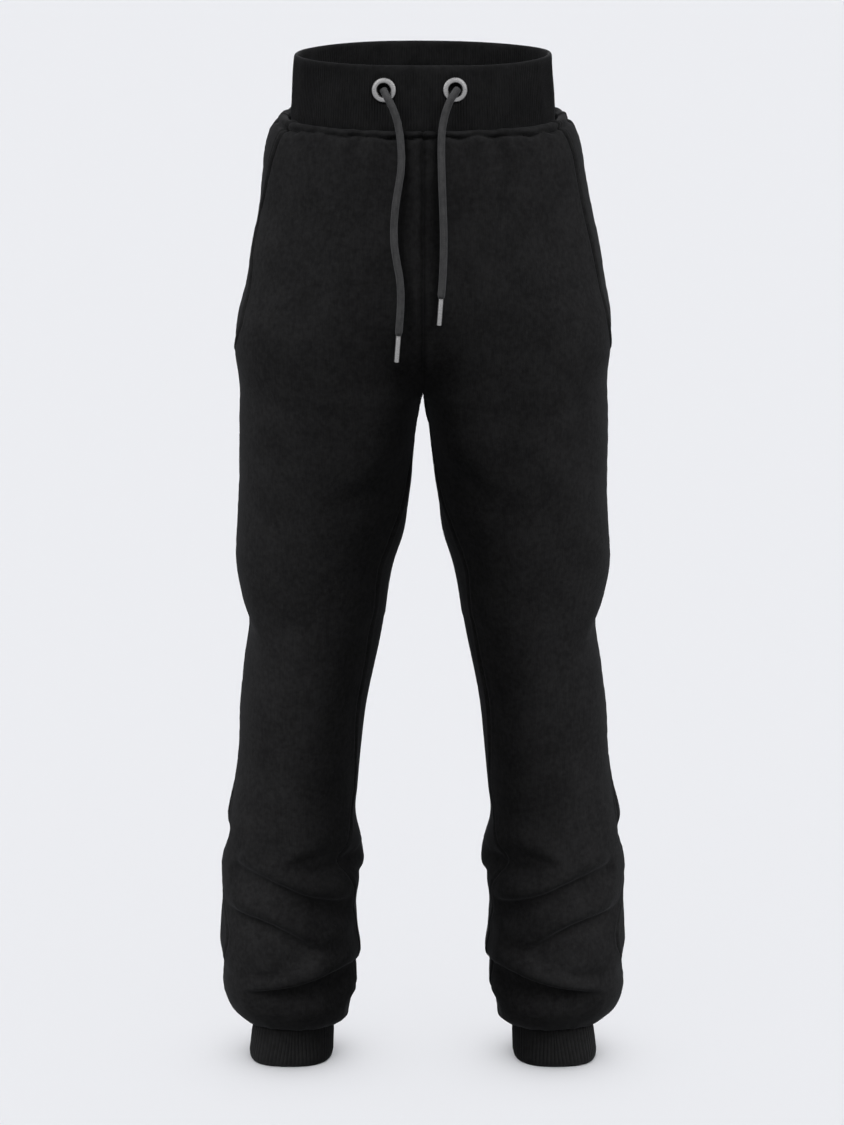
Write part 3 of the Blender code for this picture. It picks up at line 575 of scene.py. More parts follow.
def fine_sections():
    """Sections at close steps, with how far each is from the bottom edge and from the top one."""
    table = np.array(SECTIONS)
    knots = lengths_along(table[:, [0, 3]])
    paces = np.array(PACES).T
    places = [0.0]
    while places[-1] < knots[-1]:
        height = np.interp(places[-1], knots, table[:, 0])
        places.append(places[-1] + np.interp(height, *paces))
    places = np.array(places) * knots[-1] / places[-1]
    rows = smooth_rows(knots, table, places)
    rows[:, 1] = np.where(rows[:, 0] < LEGS_PART, np.maximum(rows[:, 1], LEAST_INNER), 0.0)
    return [Section(*row) for row in rows], places, knots[-1] - places


def grid_normals(points, sections, side):
    """Outward normals; a section closes on itself below the fork and on its mirror image above."""
    before = np.roll(points, 1, axis=1)
    after = np.roll(points, -1, axis=1)
    before[:, 0] = points[:, -2]
    after[:, -1] = points[:, 1]
    mirror = np.array([-1.0, 1.0, 1.0])
    above = np.array([section.inner == 0.0 for section in sections])
    before[above, 0] = points[above, 1] * mirror
    after[above, -1] = points[above, -2] * mirror
    return unit(np.cross(after - before, np.gradient(points, axis=0)) * side)


def crowded(count):
    """Fractions from 0 to 1 that lie closer together near both ends."""
    even = np.linspace(0.0, 1.0, count + 1)
    return even - EDGE_CROWDING * np.sin(2.0 * math.pi * even) / (2.0 * math.pi)


def pick(rows, columns):
    """Values of each row at places between its dense columns."""
    whole = np.clip(np.floor(columns).astype(int), 0, rows.shape[1] - 2)
    rest = (columns - whole)[:, :, None]
    row = np.arange(rows.shape[0])[:, None]
    return rows[row, whole] * (1.0 - rest) + rows[row, whole + 1] * rest


def waves(seed, count, longest, shortest):
    """A function of two lengths: a sum of waves of random size and direction, from -1 to 1."""
    random = np.random.default_rng(seed)
    lengths = random.uniform(shortest, longest, count)
    turns = random.uniform(0.0, math.pi, count)
    phases = random.uniform(0.0, 2.0 * math.pi, count)

    def value(x, y=0.0):
        total = 0.0
        for length, turn, phase in zip(lengths, turns, phases):
            ahead = x * math.cos(turn) + y * math.sin(turn)
            total = total + np.sin(ahead * 2.0 * math.pi / length + phase)
        return total / math.sqrt(count)

    return value


def shortest_way(step):
    """A step in millimetres round the leg, taken the shorter way round."""
    return (step + LEG_ROUND / 2) % LEG_ROUND - LEG_ROUND / 2


def round_place(around):
    """Millimetres round a lower leg from the inseam."""
    around = np.mod(around, 2.0)
    beyond = FRONT_ROUND + (around - 1.0) * BACK_ROUND
    return np.where(around < 1.0, around * FRONT_ROUND, beyond)


def ridges(distance, table):
    """Ridges and, where the height is negative, grooves at their places along a distance."""
    return sum(height * bump(distance - place, width) for height, place, width in table)


def fold_relief(around, heights):
    """How far each fold lifts the cloth at each place, and how far it drags it down."""
    places = round_place(around)
    lift = np.zeros_like(places)
    drag = np.zeros_like(places)
    for fold in FOLDS:
        path = np.array(fold.path)
        reach = FOLD_REACH * max(fold.above, fold.below)
        rows = ((heights[:, 0] > path[:, 1].min() - reach)
                & (heights[:, 0] < path[:, 1].max() + reach))
        high = heights[rows]
        nearest = np.full(high.shape, np.inf)
        signed = np.zeros(high.shape)
        share = np.zeros(high.shape)
        for start, end in zip(path, path[1:]):
            run_x = float(shortest_way(round_place(end[0]) - round_place(start[0])))
            run_y = end[1] - start[1]
            from_x = shortest_way(places[rows] - round_place(start[0]))
            from_y = high - start[1]
            along = (from_x * run_x + from_y * run_y) / (run_x ** 2 + run_y ** 2)
            part = np.clip(along, 0.0, 1.0)
            gap_x = from_x - part * run_x
            gap_y = from_y - part * run_y
            gap = np.hypot(gap_x, gap_y)
            closer = gap < nearest
            is_above = gap_y * abs(run_x) - gap_x * run_y * np.sign(run_x) >= 0.0
            nearest = np.where(closer, gap, nearest)
            signed = np.where(closer, gap * np.where(is_above, 1.0, -1.0), signed)
            share = np.where(closer, start[2] + (end[2] - start[2]) * part, share)
        width = np.where(signed > 0.0, TROUGH_ABOVE * fold.above, TROUGH_BELOW * fold.below)
        crest = bump(signed - CREST_PLACE * fold.above, RIDGE_WIDTH * fold.above)
        foot = bump(signed + FOOT_PLACE * fold.below, RIDGE_WIDTH * fold.below)
        lift[rows] += share * (CREST_GAIN * fold.crest * crest + FOOT_GAIN * fold.foot * foot
                               - DEPTH_GAIN * fold.depth * bump(signed, width))
        sag = bump(signed - SAG_PLACE * fold.above, SAG_WIDTH * fold.above)
        drag[rows] += share * SAG_GAIN * fold.sag * sag
    return lift, drag


class Side:
    """One side's fine cloth surface before it is cut into panels."""

    def __init__(self, side):
        self.side = side
        self.word = "left" if side > 0 else "right"
        self.sections, self.from_foot, self.from_top = fine_sections()
        rows = []
        for section in self.sections:
            outer = section.outer_left if side > 0 else section.outer_right
            front = section_line(section, outer, back=False)
            back = section_line(section, outer, back=True)
            line = np.concatenate([front, back[::-1][1:]])
            rows.append(to_world(side * line[:, 0], line[:, 1], section.height))
        self.points = np.stack(rows)
        self.height = np.array([section.height for section in self.sections])
        self.normals = grid_normals(self.points, self.sections, side)
        self.relieve()

    def relieve(self):
        """Add the folds, the gathers at both ends and the cloth's slack to the surface."""
        around, high = np.meshgrid(np.linspace(0.0, 2.0, self.points.shape[1]), self.height)
        lift, drag = fold_relief(around, high)
        slack = waves(SLACK_SEEDS[self.word], 10, *SLACK_WAVES)
        fade = soft_step((self.from_top[:, None] - SLACK_CLEAR) / SLACK_FADE_TOP)
        fade = fade * soft_step(self.from_foot[:, None] / SLACK_FADE_FOOT)
        lift += SLACK_HEIGHT * slack(round_place(around), high * 0.6) * fade
        lift += gather_relief(self.side, around, high)
        pleats = sum(share * np.sin(count * around * math.pi + phase)
                     for share, count, phase in PLEATS)
        lift += PLEAT_HEIGHT * pleats * np.exp(-self.from_foot[:, None] / PLEAT_LENGTH)
        self.points = self.points + self.normals * lift[:, :, None] * MM
        self.points[:, :, 2] -= drag * MM
        self.normals = grid_normals(self.points, self.sections, self.side)


def gather_relief(side, around, high):
    """The soft gathers that hang from the waist seam."""
    lift = 0.0 * around
    for gather in GATHERS:
        if gather.side == side:
            across = (around - gather.around) * GATHER_ROUND
            drop = BAND_BOTTOM - gather.low
            fade = soft_step((high - gather.low) / drop)
            fade = fade * soft_step((GATHER_END - high) / GATHER_FADE)
            spread = gather.width * (1.0 + GATHER_SPREAD * (BAND_BOTTOM - high) / drop)
            lift -= gather.depth * fade * bump(across, spread)
            beside = bump(abs(across) - GATHER_BESIDE * spread, spread)
            lift += 0.5 * gather.depth * fade * beside
    return lift


def edge_distances(grid):
    """Millimetres along each row from its first point and from its last one."""
    steps = np.linalg.norm(np.diff(grid, axis=1), axis=2) / MM
    along = np.concatenate([np.zeros((len(grid), 1)), np.cumsum(steps, axis=1)], axis=1)
    return along, along[:, -1:] - along


def seam_relief(distance, along, seed):
    """A sewn edge: the cloth dips into the seam and puffs up beside it, with light puckers."""
    pucker = waves(seed, 6, 17.0, 7.0)(along)
    return ridges(distance, SEAM_RIDGES) + ridges(distance, ((PUCKER, 3.0, 5.0),)) * pucker


def waist_relief(rise, along, seed):
    """The rolled edge under the waistband, between its seam and the line of stitches below it."""
    uneven = waves(seed, 7, 60.0, 16.0)(along)
    below = rise - (WAIST_STITCH + STITCH_WANDER * uneven)
    width = np.where(below > 0.0, *GROOVE_WIDTHS)
    lift = -GROOVE_DEPTH * (1.0 + 0.3 * uneven) * bump(below, width)
    lift = lift + ROLL_HEIGHT * bump(below + ROLL_MIDDLE, ROLL_WIDTH)
    return lift + 0.5 * uneven * bump(below + ROLL_MIDDLE, 3.6)


def mouth_relief(distance):
    """The pocket mouth's rolled hem: a bead along the edge and the line of stitches beside it."""
    return ridges(distance, MOUTH_RIDGES)


def mouth_columns(shell):
    """For each row, the dense column at which the front ends: the outseam or the pocket mouth."""
    ends = np.full(len(shell.height), float(DENSE))
    heights = [row.height for row in MOUTH]
    shares = [row.left if shell.side > 0 else row.right for row in MOUTH]
    for row, height in enumerate(shell.height):
        share = np.interp(height, heights, shares)
        if height > heights[0] and share < 1.0:
            widths = np.abs(shell.points[row, :DENSE + 1, 0])
            widest = int(np.argmax(widths))
            rising = np.maximum.accumulate(widths[:widest + 1])
            ends[row] = np.interp(share * widths[widest], rising, np.arange(widest + 1))
    return ends[:, None]


def wall_grids(shell, rows, columns, lift, wall):
    """The outer and inner faces of a piece of cloth, raised from its side's surface by lift."""
    normal = unit(pick(shell.normals[rows], columns))
    grid = pick(shell.points[rows], columns) + normal * lift[:, :, None] * MM
    outside = pull_in_edges(grid, SEAM_GAP / 2 * MM)
    inside = pull_in_edges(grid - normal * wall * MM, -SEAM_CLOSED * MM)
    for grid, least in ((outside, SEAM_GAP / 2), (inside, -SEAM_CLOSED)):
        grid[:, :, 0] = shell.side * np.maximum(shell.side * grid[:, :, 0], least * MM)
    return outside, inside


def pull_in_edges(grid, gap):
    """Move the grid's outermost points inwards along the cloth by a gap."""
    moved = grid.copy()
    for edge, inside in ((0, 1), (-1, -2)):
        moved[:, edge] += unit(grid[:, inside] - grid[:, edge]) * gap
    return moved


def mesh_piece(name, points, faces, finish, sharp=50.0):
    """A smooth-shaded mesh object that rides on the body."""
    mesh = bpy.data.meshes.new(name)
    if isinstance(faces, np.ndarray):
        faces = faces.tolist()
    mesh.from_pydata(points.tolist(), [], faces)
    mesh.materials.append(finish)
    mesh.shade_smooth()
    mesh.set_sharp_from_angle(angle=math.radians(sharp))
    piece = bpy.data.objects.new(name, mesh)
    bpy.context.scene.collection.objects.link(piece)
    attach(piece, "root")
    return piece


def wrapped(index, rows=False):
    """A grid of point numbers with its first column again after the last, and so its rows."""
    index = np.concatenate([index, index[:, :1]], axis=1)
    return np.concatenate([index, index[:1]], axis=0) if rows else index


def quads(index):
    """The four-cornered faces of a grid of point numbers."""
    corners = [index[:-1, :-1], index[:-1, 1:], index[1:, 1:], index[1:, :-1]]
    return np.stack(corners, axis=-1).reshape(-1, 4)


def facing_out(points, faces):
    """The faces of a closed surface, turned round if they face inwards."""
    corners = points[faces]
    twice = np.cross(corners[:, 2] - corners[:, 0], corners[:, 3] - corners[:, 1])
    return faces[:, ::-1] if (corners.mean(axis=1) * twice).sum() < 0.0 else faces


def tube_faces(rings, columns):
    """The faces of a tube of rings of points, with a cap at each end."""
    index = wrapped(np.arange(rings * columns).reshape(rings, columns))
    caps = [index[0, :-1][::-1].tolist(), index[-1, :-1].tolist()]
    return quads(index).tolist() + caps


def wall_piece(name, outside, inside, finish):
    """A wall between two grids of points."""
    index = np.arange(outside.size // 3).reshape(outside.shape[:2])
    inner = index + index.size
    rims = (
        (inner[1:, :-1], inner[1:, 1:], inner[:-1, 1:], inner[:-1, :-1]),
        (index[0, 1:], index[0, :-1], inner[0, :-1], inner[0, 1:]),
        (index[-1, :-1], index[-1, 1:], inner[-1, 1:], inner[-1, :-1]),
        (index[:-1, 0], index[1:, 0], inner[1:, 0], inner[:-1, 0]),
        (index[1:, -1], index[:-1, -1], inner[:-1, -1], inner[1:, -1]),
    )
    rims = [np.stack(rim, axis=-1).reshape(-1, 4) for rim in rims]
    points = np.concatenate([outside.reshape(-1, 3), inside.reshape(-1, 3)])
    faces = facing_out(points, np.concatenate([quads(index), *rims]))
    return mesh_piece(name, points, faces, finish)


def make_panel(shell, word, columns, hem, seeds, cloth):
    """A front or back, whose last edge is a rolled hem as far as hem says; gives its outer face."""
    foot = shell.from_foot[:, None]
    first, last = edge_distances(pick(shell.points, columns))
    lift = seam_relief(first, foot, seeds[0])
    lift += (1.0 - hem) * seam_relief(last, foot, seeds[1]) + hem * mouth_relief(last)
    lift += waist_relief(shell.from_top[:, None], first, seeds[2]) - bump(foot, FOOT_DIP)
    rows = np.arange(len(shell.height))
    outside, inside = wall_grids(shell, rows, columns, lift, CLOTH)
    meet_band(outside, inside, shell, rows)
    piece = wall_piece(f"fleece_{word}_{shell.word}", outside, inside, cloth)
    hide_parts(*[f"{word}_{shell.word}_{stretch}" for stretch in STRETCH_WORDS])
    return outside


def make_panels(shell, cloth, thread):
    """One side's front and back with their stitches; gives the front's columns."""
    seed = PANEL_SEEDS[shell.word]
    ends = mouth_columns(shell)
    risen = shell.height[:, None] - MOUTH[0].height
    mouth = soft_step((risen + MOUTH_BLEND_BELOW) / MOUTH_BLEND) * (ends < DENSE)
    front = ends * crowded(FRONT_COLUMNS)
    outside = make_panel(shell, "front", front, mouth, (seed, seed + 1, seed + 2), cloth)
    add_stitches(f"stitches_mouth_{shell.word}", thread, mouth_line(outside, shell, mouth))
    front_line = waist_line(outside, shell)
    back = np.repeat(DENSE + DENSE * crowded(BACK_COLUMNS)[None, :], len(ends), axis=0)
    outside = make_panel(shell, "back", back, 0.0, (seed + 4, seed + 3, seed + 5), cloth)
    add_stitches(f"stitches_waist_{shell.word}", thread, front_line, waist_line(outside, shell))
    return front


def make_pocket(shell, front, cloth):
    """The facing and pouch: behind the front as far as the mouth, then out to the side seam."""
    rows = np.flatnonzero(shell.height >= POCKET_BOTTOM)
    rows = rows[shell.from_top[rows] > POCKET_BELOW_TOP]
    ends = front[rows, -1:]
    share = np.linspace(0.0, 1.0, POCKET_BEYOND + 1)
    behind = ends - POUCH_BEHIND + POUCH_BEHIND * np.linspace(0.0, 1.0, POCKET_BEHIND + 1)[:-1]
    is_open = soft_step((shell.height[rows][:, None] - MOUTH[0].height) / POCKET_OPENS)
    far = DENSE - POUCH_EDGE * (1.0 - is_open)
    mouth = np.minimum(ends, DENSE - POUCH_WIDTH)
    beyond = mouth + (far - mouth) * share
    depth = CLOTH + POCKET_CLEARANCE + POCKET_TUCK * (1.0 - is_open)
    columns = np.concatenate([behind, beyond], axis=1)
    from_in, from_out = edge_distances(pick(shell.points[rows], columns))
    past_mouth = from_in[:, POCKET_BEHIND:] - from_in[:, POCKET_BEHIND:POCKET_BEHIND + 1]
    risen = soft_step((past_mouth - FACING_RISE_START) / FACING_RISE)
    risen = FACING_RISE_SHARE * risen + (1.0 - FACING_RISE_SHARE) * soft_step(share)
    sunk = np.concatenate([depth + 0.0 * behind, depth * (1.0 - risen * is_open)], axis=1)
    lift = seam_relief(from_out, shell.from_foot[rows][:, None], POCKET_SEED) * is_open
    lift += waist_relief(shell.from_top[rows][:, None], from_in, POCKET_SEED + 1) * is_open
    level = np.minimum(rows, np.flatnonzero(shell.from_top > POCKET_LEVEL)[-1])
    inward = pick(shell.normals[level], columns) * sunk[:, :, None] * MM
    outside, inside = wall_grids(shell, rows, columns, lift, POCKET_CLOTH)
    outside -= inward
    inside -= inward
    meet_band(outside, inside, shell, rows)
    piece = wall_piece(f"fleece_pocket_{shell.word}", outside, inside, cloth)
    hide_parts(f"pocket_{shell.word}")


def meet_band(outside, inside, shell, rows):
    """Bring a wall's top edge to the waistband's face, and keep the rest of it outside that."""
    ring = BAND_RINGS[0]
    power = 2.0 / ring.power
    level = shell.height[rows] > ring.height - 1.0
    close = soft_step((3.0 - shell.from_top[rows][level]) / 3.0)[:, None]
    for grid, gap in ((outside, BAND_GAP_OUTSIDE), (inside, BAND_GAP_INSIDE)):
        across = np.abs(grid[level, :, 0]) / MM / (ring.half_width + gap)
        depth = np.abs(grid[level, :, 1]) / MM / (ring.half_depth + gap)
        share = (across ** power + depth ** power) ** (1.0 / power)
        pull = np.where(share < 1.0, 1.0, close)
        grid[level, :, :2] *= (1.0 + pull * (1.0 / share - 1.0))[:, :, None]


def waist_line(grid, shell):
    """Points along the groove of the waist's stitches on a panel, and the way out of the cloth."""
    columns = np.arange(grid.shape[1])
    row = int(np.argmin(np.abs(shell.from_top - WAIST_STITCH)))
    return line_with_normals(grid, np.full(len(columns), row), columns, shell.side)


def mouth_line(grid, shell, mouth):
    """The same along a pocket mouth."""
    from_out = edge_distances(grid)[1]
    rows = np.flatnonzero((mouth[:, 0] > 0.7) & (shell.from_top > 5.0))
    columns = np.argmin(np.abs(from_out[rows] - MOUTH_STITCH), axis=1)
    return line_with_normals(grid, rows, columns, shell.side)


def line_with_normals(grid, rows, columns, side):
    """Points of a grid and the outward normals there."""
    normals = np.cross(np.gradient(grid, axis=1), np.gradient(grid, axis=0)) * side
    return grid[rows, columns], unit(normals[rows, columns])


def smooth_line(points, window):
    """A line whose small steps are averaged away; its ends stay."""
    if len(points) < 2 * window:
        return points
    padded = np.concatenate([points[:1].repeat(window, 0), points, points[-1:].repeat(window, 0)])
    kernel = np.hanning(2 * window + 3)[1:-1]
    kernel /= kernel.sum()
    out = [np.convolve(padded[:, k], kernel, mode="valid") for k in range(3)]
    return np.stack(out, axis=1)


def add_stitches(name, thread, *lines):
    """Short threads laid end to end along lines on the cloth."""
    turns = np.linspace(0.0, 2.0 * math.pi, STITCH_SIDES, endpoint=False)[:, None]
    points = []
    for path, out in lines:
        path = smooth_line(path, 4)
        out = smooth_line(out, 4)
        along = lengths_along(path)
        for number in range(int(along[-1] / (STITCH_PITCH * MM))):
            places = (number * STITCH_PITCH + np.linspace(0.0, STITCH_LENGTH, 5)) * MM
            spine = at_places(places, along, path)
            away = unit(at_places(places, along, out))
            level = np.cross(unit(np.gradient(spine, axis=0)), away)
            offset = away[:, None] * np.cos(turns) + level[:, None] * np.sin(turns)
            middle = spine + away * STITCH_LIFTS[:, None]
            points.append(middle[:, None] + offset * STITCH_RADII[:, None, None])
    points = np.stack(points)
    faces = []
    for index in np.arange(points.size // 3).reshape(points.shape[:3]):
        low = index[:-1]
        high = index[1:]
        corners = [low, high, np.roll(high, -1, axis=1), np.roll(low, -1, axis=1)]
        faces += np.stack(corners, axis=-1).reshape(-1, 4).tolist()
        faces += [index[0].tolist(), index[-1, ::-1].tolist()]
    mesh_piece(name, points.reshape(-1, 3), faces, thread)


def ring_at(rings, height):
    """The half width, half depth and power of a ring of rib at a height."""
    heights, *columns = np.array(rings).T
    return [np.interp(height, heights, column) for column in columns]


def ring_line(angles, rings, height, inset):
    """Points of the waistband's or a cuff's oval at a height, inset from its outside."""
    wide, deep, power = ring_at(rings, height)
    return oval(angles, 0.0, wide - inset, 0.0, deep - inset, power, power)


def even_angles(rings, count):
    """Angles that divide a ring of rib into equal lengths, their places and the whole length."""
    angles = np.linspace(0.0, 2.0 * math.pi, 7201)
    along = lengths_along(ring_line(angles, rings, rings[1].height, 0.0))
    places = np.linspace(0.0, 1.0, count, endpoint=False)
    evenly = np.linspace(0.0, along[-1], count, endpoint=False)
    return np.interp(evenly, along, angles), places, along[-1]


def rib_wave(place, ribs):
    """The outline of rib knit: round ridges between narrow valleys, from 0 to 1."""
    return np.abs(np.cos(math.pi * place * ribs)) ** 0.7


def folded(edge, fold, middle, reach, wall, counts):
    """Heights and insets of a folded rib: down one face, round the fold and back to the edge."""
    half = wall / 2
    stations = [(height, 0.0) for height in np.linspace(edge, fold, counts[0])]
    for turn in np.linspace(0.0, math.pi, 11)[1:-1]:
        stations.append((middle + reach * math.sin(turn), half - half * math.cos(turn)))
    return stations + [(height, wall) for height in np.linspace(fold, edge, counts[1])]


def rib_piece(name, grid, finish):
    """A closed ring of rib from its rows of points, the last of which joins the first."""
    points = np.concatenate(grid)
    index = wrapped(np.arange(len(points)).reshape(len(grid), -1), rows=True)
    return mesh_piece(name, points, facing_out(points, quads(index)), finish)


def make_band(rib):
    """The waistband: rib folded over its elastic, dimpled where the eyelets sit."""
    angles, place, length = even_angles(BAND_RINGS, BAND_RIBS * BAND_RIB_COLUMNS)
    arc = place * length
    ribs = rib_wave(place, BAND_RIBS)
    sway = waves(71, 6, 240.0, 90.0)
    puff = waves(72, 8, 70.0, 26.0)
    spots = [band_surface(eyelet.across, eyelet.height)[0] for eyelet in EYELETS]
    grid = []
    for height, inset in folded(BAND_BOTTOM, 1015.6, 1016.0, 4.0, RIB_DOUBLE, (30, 28)):
        line = ring_line(angles, BAND_RINGS, height, inset)
        level = to_world(line[:, 0], line[:, 1], height)[:, 2]
        ahead = np.roll(line, -3, axis=0) - np.roll(line, 3, axis=0)
        outward = unit(np.stack([ahead[:, 1], -ahead[:, 0]], axis=1))
        if (outward * line).sum() < 0.0:
            outward = -outward
        facing = 1.0 - 2.0 * inset / RIB_DOUBLE
        edge = soft_step((height - BAND_BOTTOM) / BAND_FADE)
        edge = edge * (1.0 - 0.6 * soft_step((height - BAND_FADE_TOP) / BAND_FADE))
        lift = facing * RIB_DEPTH * (ribs - 1.0) * edge
        lift += facing * BAND_PUFF * puff(arc, 0.45 * height) * edge
        if inset == RIB_DOUBLE:
            lift += ridges(height, BAND_INNER_RIDGES)
        elif inset == 0.0:
            lift += ridges(height, (BAND_EDGE_DIP,))
            front = line[:, 1] < 0.0
            for spot in spots:
                gap = np.hypot(line[:, 0] - spot.x / MM, (level - spot.z) / MM)
                dimple = sum(deep * soft_step((far - gap) / soft) for deep, far, soft in DIMPLES)
                lift -= front * dimple
                lift += front * ridges(gap, (DIMPLE_RIM,))
        moved = line + outward * lift[:, None]
        level = height + BAND_SWAY * sway(arc) * soft_step((height - SWAY_START) / 30.0)
        grid.append(to_world(moved[:, 0], moved[:, 1], level))
    piece = rib_piece("rib_waistband", grid, rib)
    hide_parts("waistband")


def make_cuff(side, word, rib):
    """A cuff: rib folded double, with its seam on the inner side of the leg."""
    angles, place, length = even_angles(CUFF_RINGS, CUFF_RIBS * CUFF_RIB_COLUMNS)
    ribs = rib_wave(place, CUFF_RIBS)
    seam = bump((place + 0.5) % 1.0 * length - length / 2, 1.3)
    uneven = waves(81, 6, 60.0, 24.0)(place * length)
    top = CUFF_RINGS[-1].height
    grid = []
    for height, inset in folded(top, 2.4, 2.0, -2.0, CUFF_DOUBLE, (21, 14)):
        centre = CUFF_CENTRE + CUFF_LEAN * (1.0 - height / top)
        line = ring_line(angles, CUFF_RINGS, height, inset)
        facing = 1.0 - 2.0 * inset / CUFF_DOUBLE
        edge = 1.0 - 0.75 * soft_step((6.0 - height) / 6.0)
        lift = facing * (CUFF_RIB_DEPTH * (ribs - 1.0) * edge - 1.0 * seam)
        lift += CUFF_UNEVEN * uneven * facing
        moved = line + unit(line) * lift[:, None]
        grid.append(to_world(side * (moved[:, 0] + centre), moved[:, 1], height))
    piece = rib_piece(f"rib_cuff_{word}", grid, rib)
    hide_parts(f"cuff_{word}")


def band_surface(across, height):
    """A point on the front of the waistband and the direction out of it."""
    def point(at_across, at_height):
        half_width, half_depth, power = ring_at(BAND_RINGS, at_height)
        share = abs(at_across / half_width) ** (1.0 / power)
        depth = -half_depth * math.sqrt(1.0 - share * share) ** power
        return Vector(to_world(at_across, depth, at_height + slope_at(height) * half_depth))

    along = point(across + 1.0, height) - point(across - 1.0, height)
    up = point(across, height + 1.0) - point(across, height - 1.0)
    return point(across, height), along.cross(up).normalized()


def turned(name, profile, steps, finish, closed, place):
    """A round piece: its profile of radius and height turned about its own Z, then placed."""
    angles = np.linspace(0.0, 2.0 * math.pi, steps, endpoint=False)
    points = np.concatenate([
        np.stack([r * np.cos(angles), r * np.sin(angles), h + 0.0 * angles], axis=1)
        for r, h in profile]) * MM
    if closed:
        faces = quads(wrapped(np.arange(len(points)).reshape(-1, steps), rows=True))
    else:
        faces = tube_faces(len(profile), steps)
    points = points @ np.array(place.to_3x3()).T + np.array(place.translation)
    return mesh_piece(name, points, faces, finish, sharp=35.0)


def make_eyelets(metal):
    """The two rolled eyelets."""
    for eyelet in EYELETS:
        spot, outward = band_surface(eyelet.across, eyelet.height)
        turn = outward.to_track_quat("Z", "Y")
        place = Matrix.LocRotScale(spot + outward * EYELET_LIFT * MM, turn, None)
        piece = turned(f"metal_eyelet_{eyelet.word}", EYELET_PROFILE, 96, metal, True, place)
        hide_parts(f"eyelet_{eyelet.word}")


def smooth_route(route, step):
    """Points a step apart along a smooth curve through the route's own points."""
    knots = [Vector((point.across, point.depth, point.height - ORIGIN_HEIGHT)) for point in route]
    knots = [knots[0] * 2 - knots[1], *knots, knots[-1] * 2 - knots[-2]]
    fine = []
    for before, start, end, after in zip(knots, knots[1:], knots[2:], knots[3:]):
        leave = (end - before) / 2
        arrive = (after - start) / 2
        for part in np.linspace(0.0, 1.0, 24, endpoint=False):
            rise = 3 * part ** 2 - 2 * part ** 3
            place = start * (1 - rise) + end * rise
            place += leave * (part ** 3 - 2 * part ** 2 + part)
            place += arrive * (part ** 3 - part ** 2)
            fine.append(place)
    fine.append(knots[-2])
    line = np.array([list(point) for point in fine])
    along = lengths_along(line)
    places = np.linspace(0.0, along[-1], max(2, round(along[-1] / step)) + 1)
    return smooth_line(at_places(places, along, line), 3) * MM, along[-1]


def make_cord(word, cotton, metal):
    """One free end of the drawcord as knitted tube, and its aglet in line with the cord's end."""
    step = CORD_PITCH / 4
    path, length = smooth_route(ROUTES[word], step)
    columns = 2 * CORD_WALES * 3
    forward = unit(np.gradient(path, axis=0))
    side = unit(np.cross(forward[0], np.array([0.0, -1.0, 0.0])))
    angles = np.linspace(0.0, 2.0 * math.pi, columns, endpoint=False)
    wale = np.abs(np.mod(angles * CORD_WALES / (2.0 * math.pi), 1.0) * 2.0 - 1.0)
    rounding = CORD_RELIEF * (1.0 - np.sqrt(np.clip(1.0 - wale ** 2 * 0.9, 0.0, 1.0)))
    narrowing = CORD_DIAMETER / 2 - AGLET_RADIUS - 0.15
    points = []
    for number, (place, ahead) in enumerate(zip(path, forward)):
        side = unit(side - ahead * (side @ ahead))
        other = np.cross(ahead, side)
        along = number * step
        stitch = np.cos(2.0 * math.pi * (along / CORD_PITCH + 0.55 * wale))
        radius = CORD_DIAMETER / 2 - rounding
        radius = radius + 0.5 * CORD_RELIEF * (stitch - 1.0) * (1.0 - wale ** 3)
        radius = radius - narrowing * soft_step((CORD_TAPER - (length - along)) / CORD_TAPER)
        around = side * np.cos(angles)[:, None] + other * np.sin(angles)[:, None]
        points.append(place + around * radius[:, None] * MM)
    faces = tube_faces(len(points), columns)
    cord = mesh_piece(f"knit_cord_{word}", np.concatenate(points), faces, cotton, sharp=80.0)
    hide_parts(f"drawcord_{word}")
    end = Vector(path[-1])
    downward = Vector(forward[-1])
    turn = downward.to_track_quat("Z", "Y")
    place = Matrix.LocRotScale(end + downward * SEAM_GAP * MM, turn, None)
    aglet = turned(f"metal_aglet_{word}", AGLET_PROFILE, 48, metal, False, place)
    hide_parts(f"aglet_{word}")


def new_material(name, slot, settings):
    """A Principled material with these settings: itself, its nodes and its shader."""
    made = bpy.data.materials.new(name)
    made.use_nodes = True
    made["row_slot"] = slot
    tree = made.node_tree
    shader = tree.nodes["Principled BSDF"]
    for socket, value in settings.items():
        shader.inputs[socket].default_value = value
    return made, tree, shader


def add_noise(tree, scale, detail, stretch=(1.0, 1.0, 1.0)):
    """A noise of the object's own coordinates, stretched along X, Y and Z."""
    coordinates = tree.nodes.new("ShaderNodeTexCoord")
    mapping = tree.nodes.new("ShaderNodeMapping")
    mapping.inputs["Scale"].default_value = stretch
    noise = tree.nodes.new("ShaderNodeTexNoise")
    noise.inputs["Scale"].default_value = scale
    noise.inputs["Detail"].default_value = detail
    noise.inputs["Roughness"].default_value = 0.6
    tree.links.new(coordinates.outputs["Object"], mapping.inputs["Vector"])
    tree.links.new(mapping.outputs["Vector"], noise.inputs["Vector"])
    return noise.outputs["Fac"]


def add_ramp(tree, source, stops):
    """A colour ramp on a factor; each stop is a place and a colour."""
    ramp = tree.nodes.new("ShaderNodeValToRGB")
    elements = ramp.color_ramp.elements
    while len(elements) < len(stops):
        elements.new(0.5)
    for element, (place, colour) in zip(elements, stops):
        element.position = place
        element.color = (*colour, 1.0)
    tree.links.new(source, ramp.inputs["Fac"])
    return ramp.outputs["Color"]


def add_math(tree, operation, first, second):
    """One step of arithmetic; the inputs are sockets or numbers."""
    node = tree.nodes.new("ShaderNodeMath")
    node.operation = operation
    for socket, value in zip(node.inputs, (first, second)):
        if isinstance(value, (int, float)):
            socket.default_value = value
        else:
            tree.links.new(value, socket)
    return node.outputs["Value"]


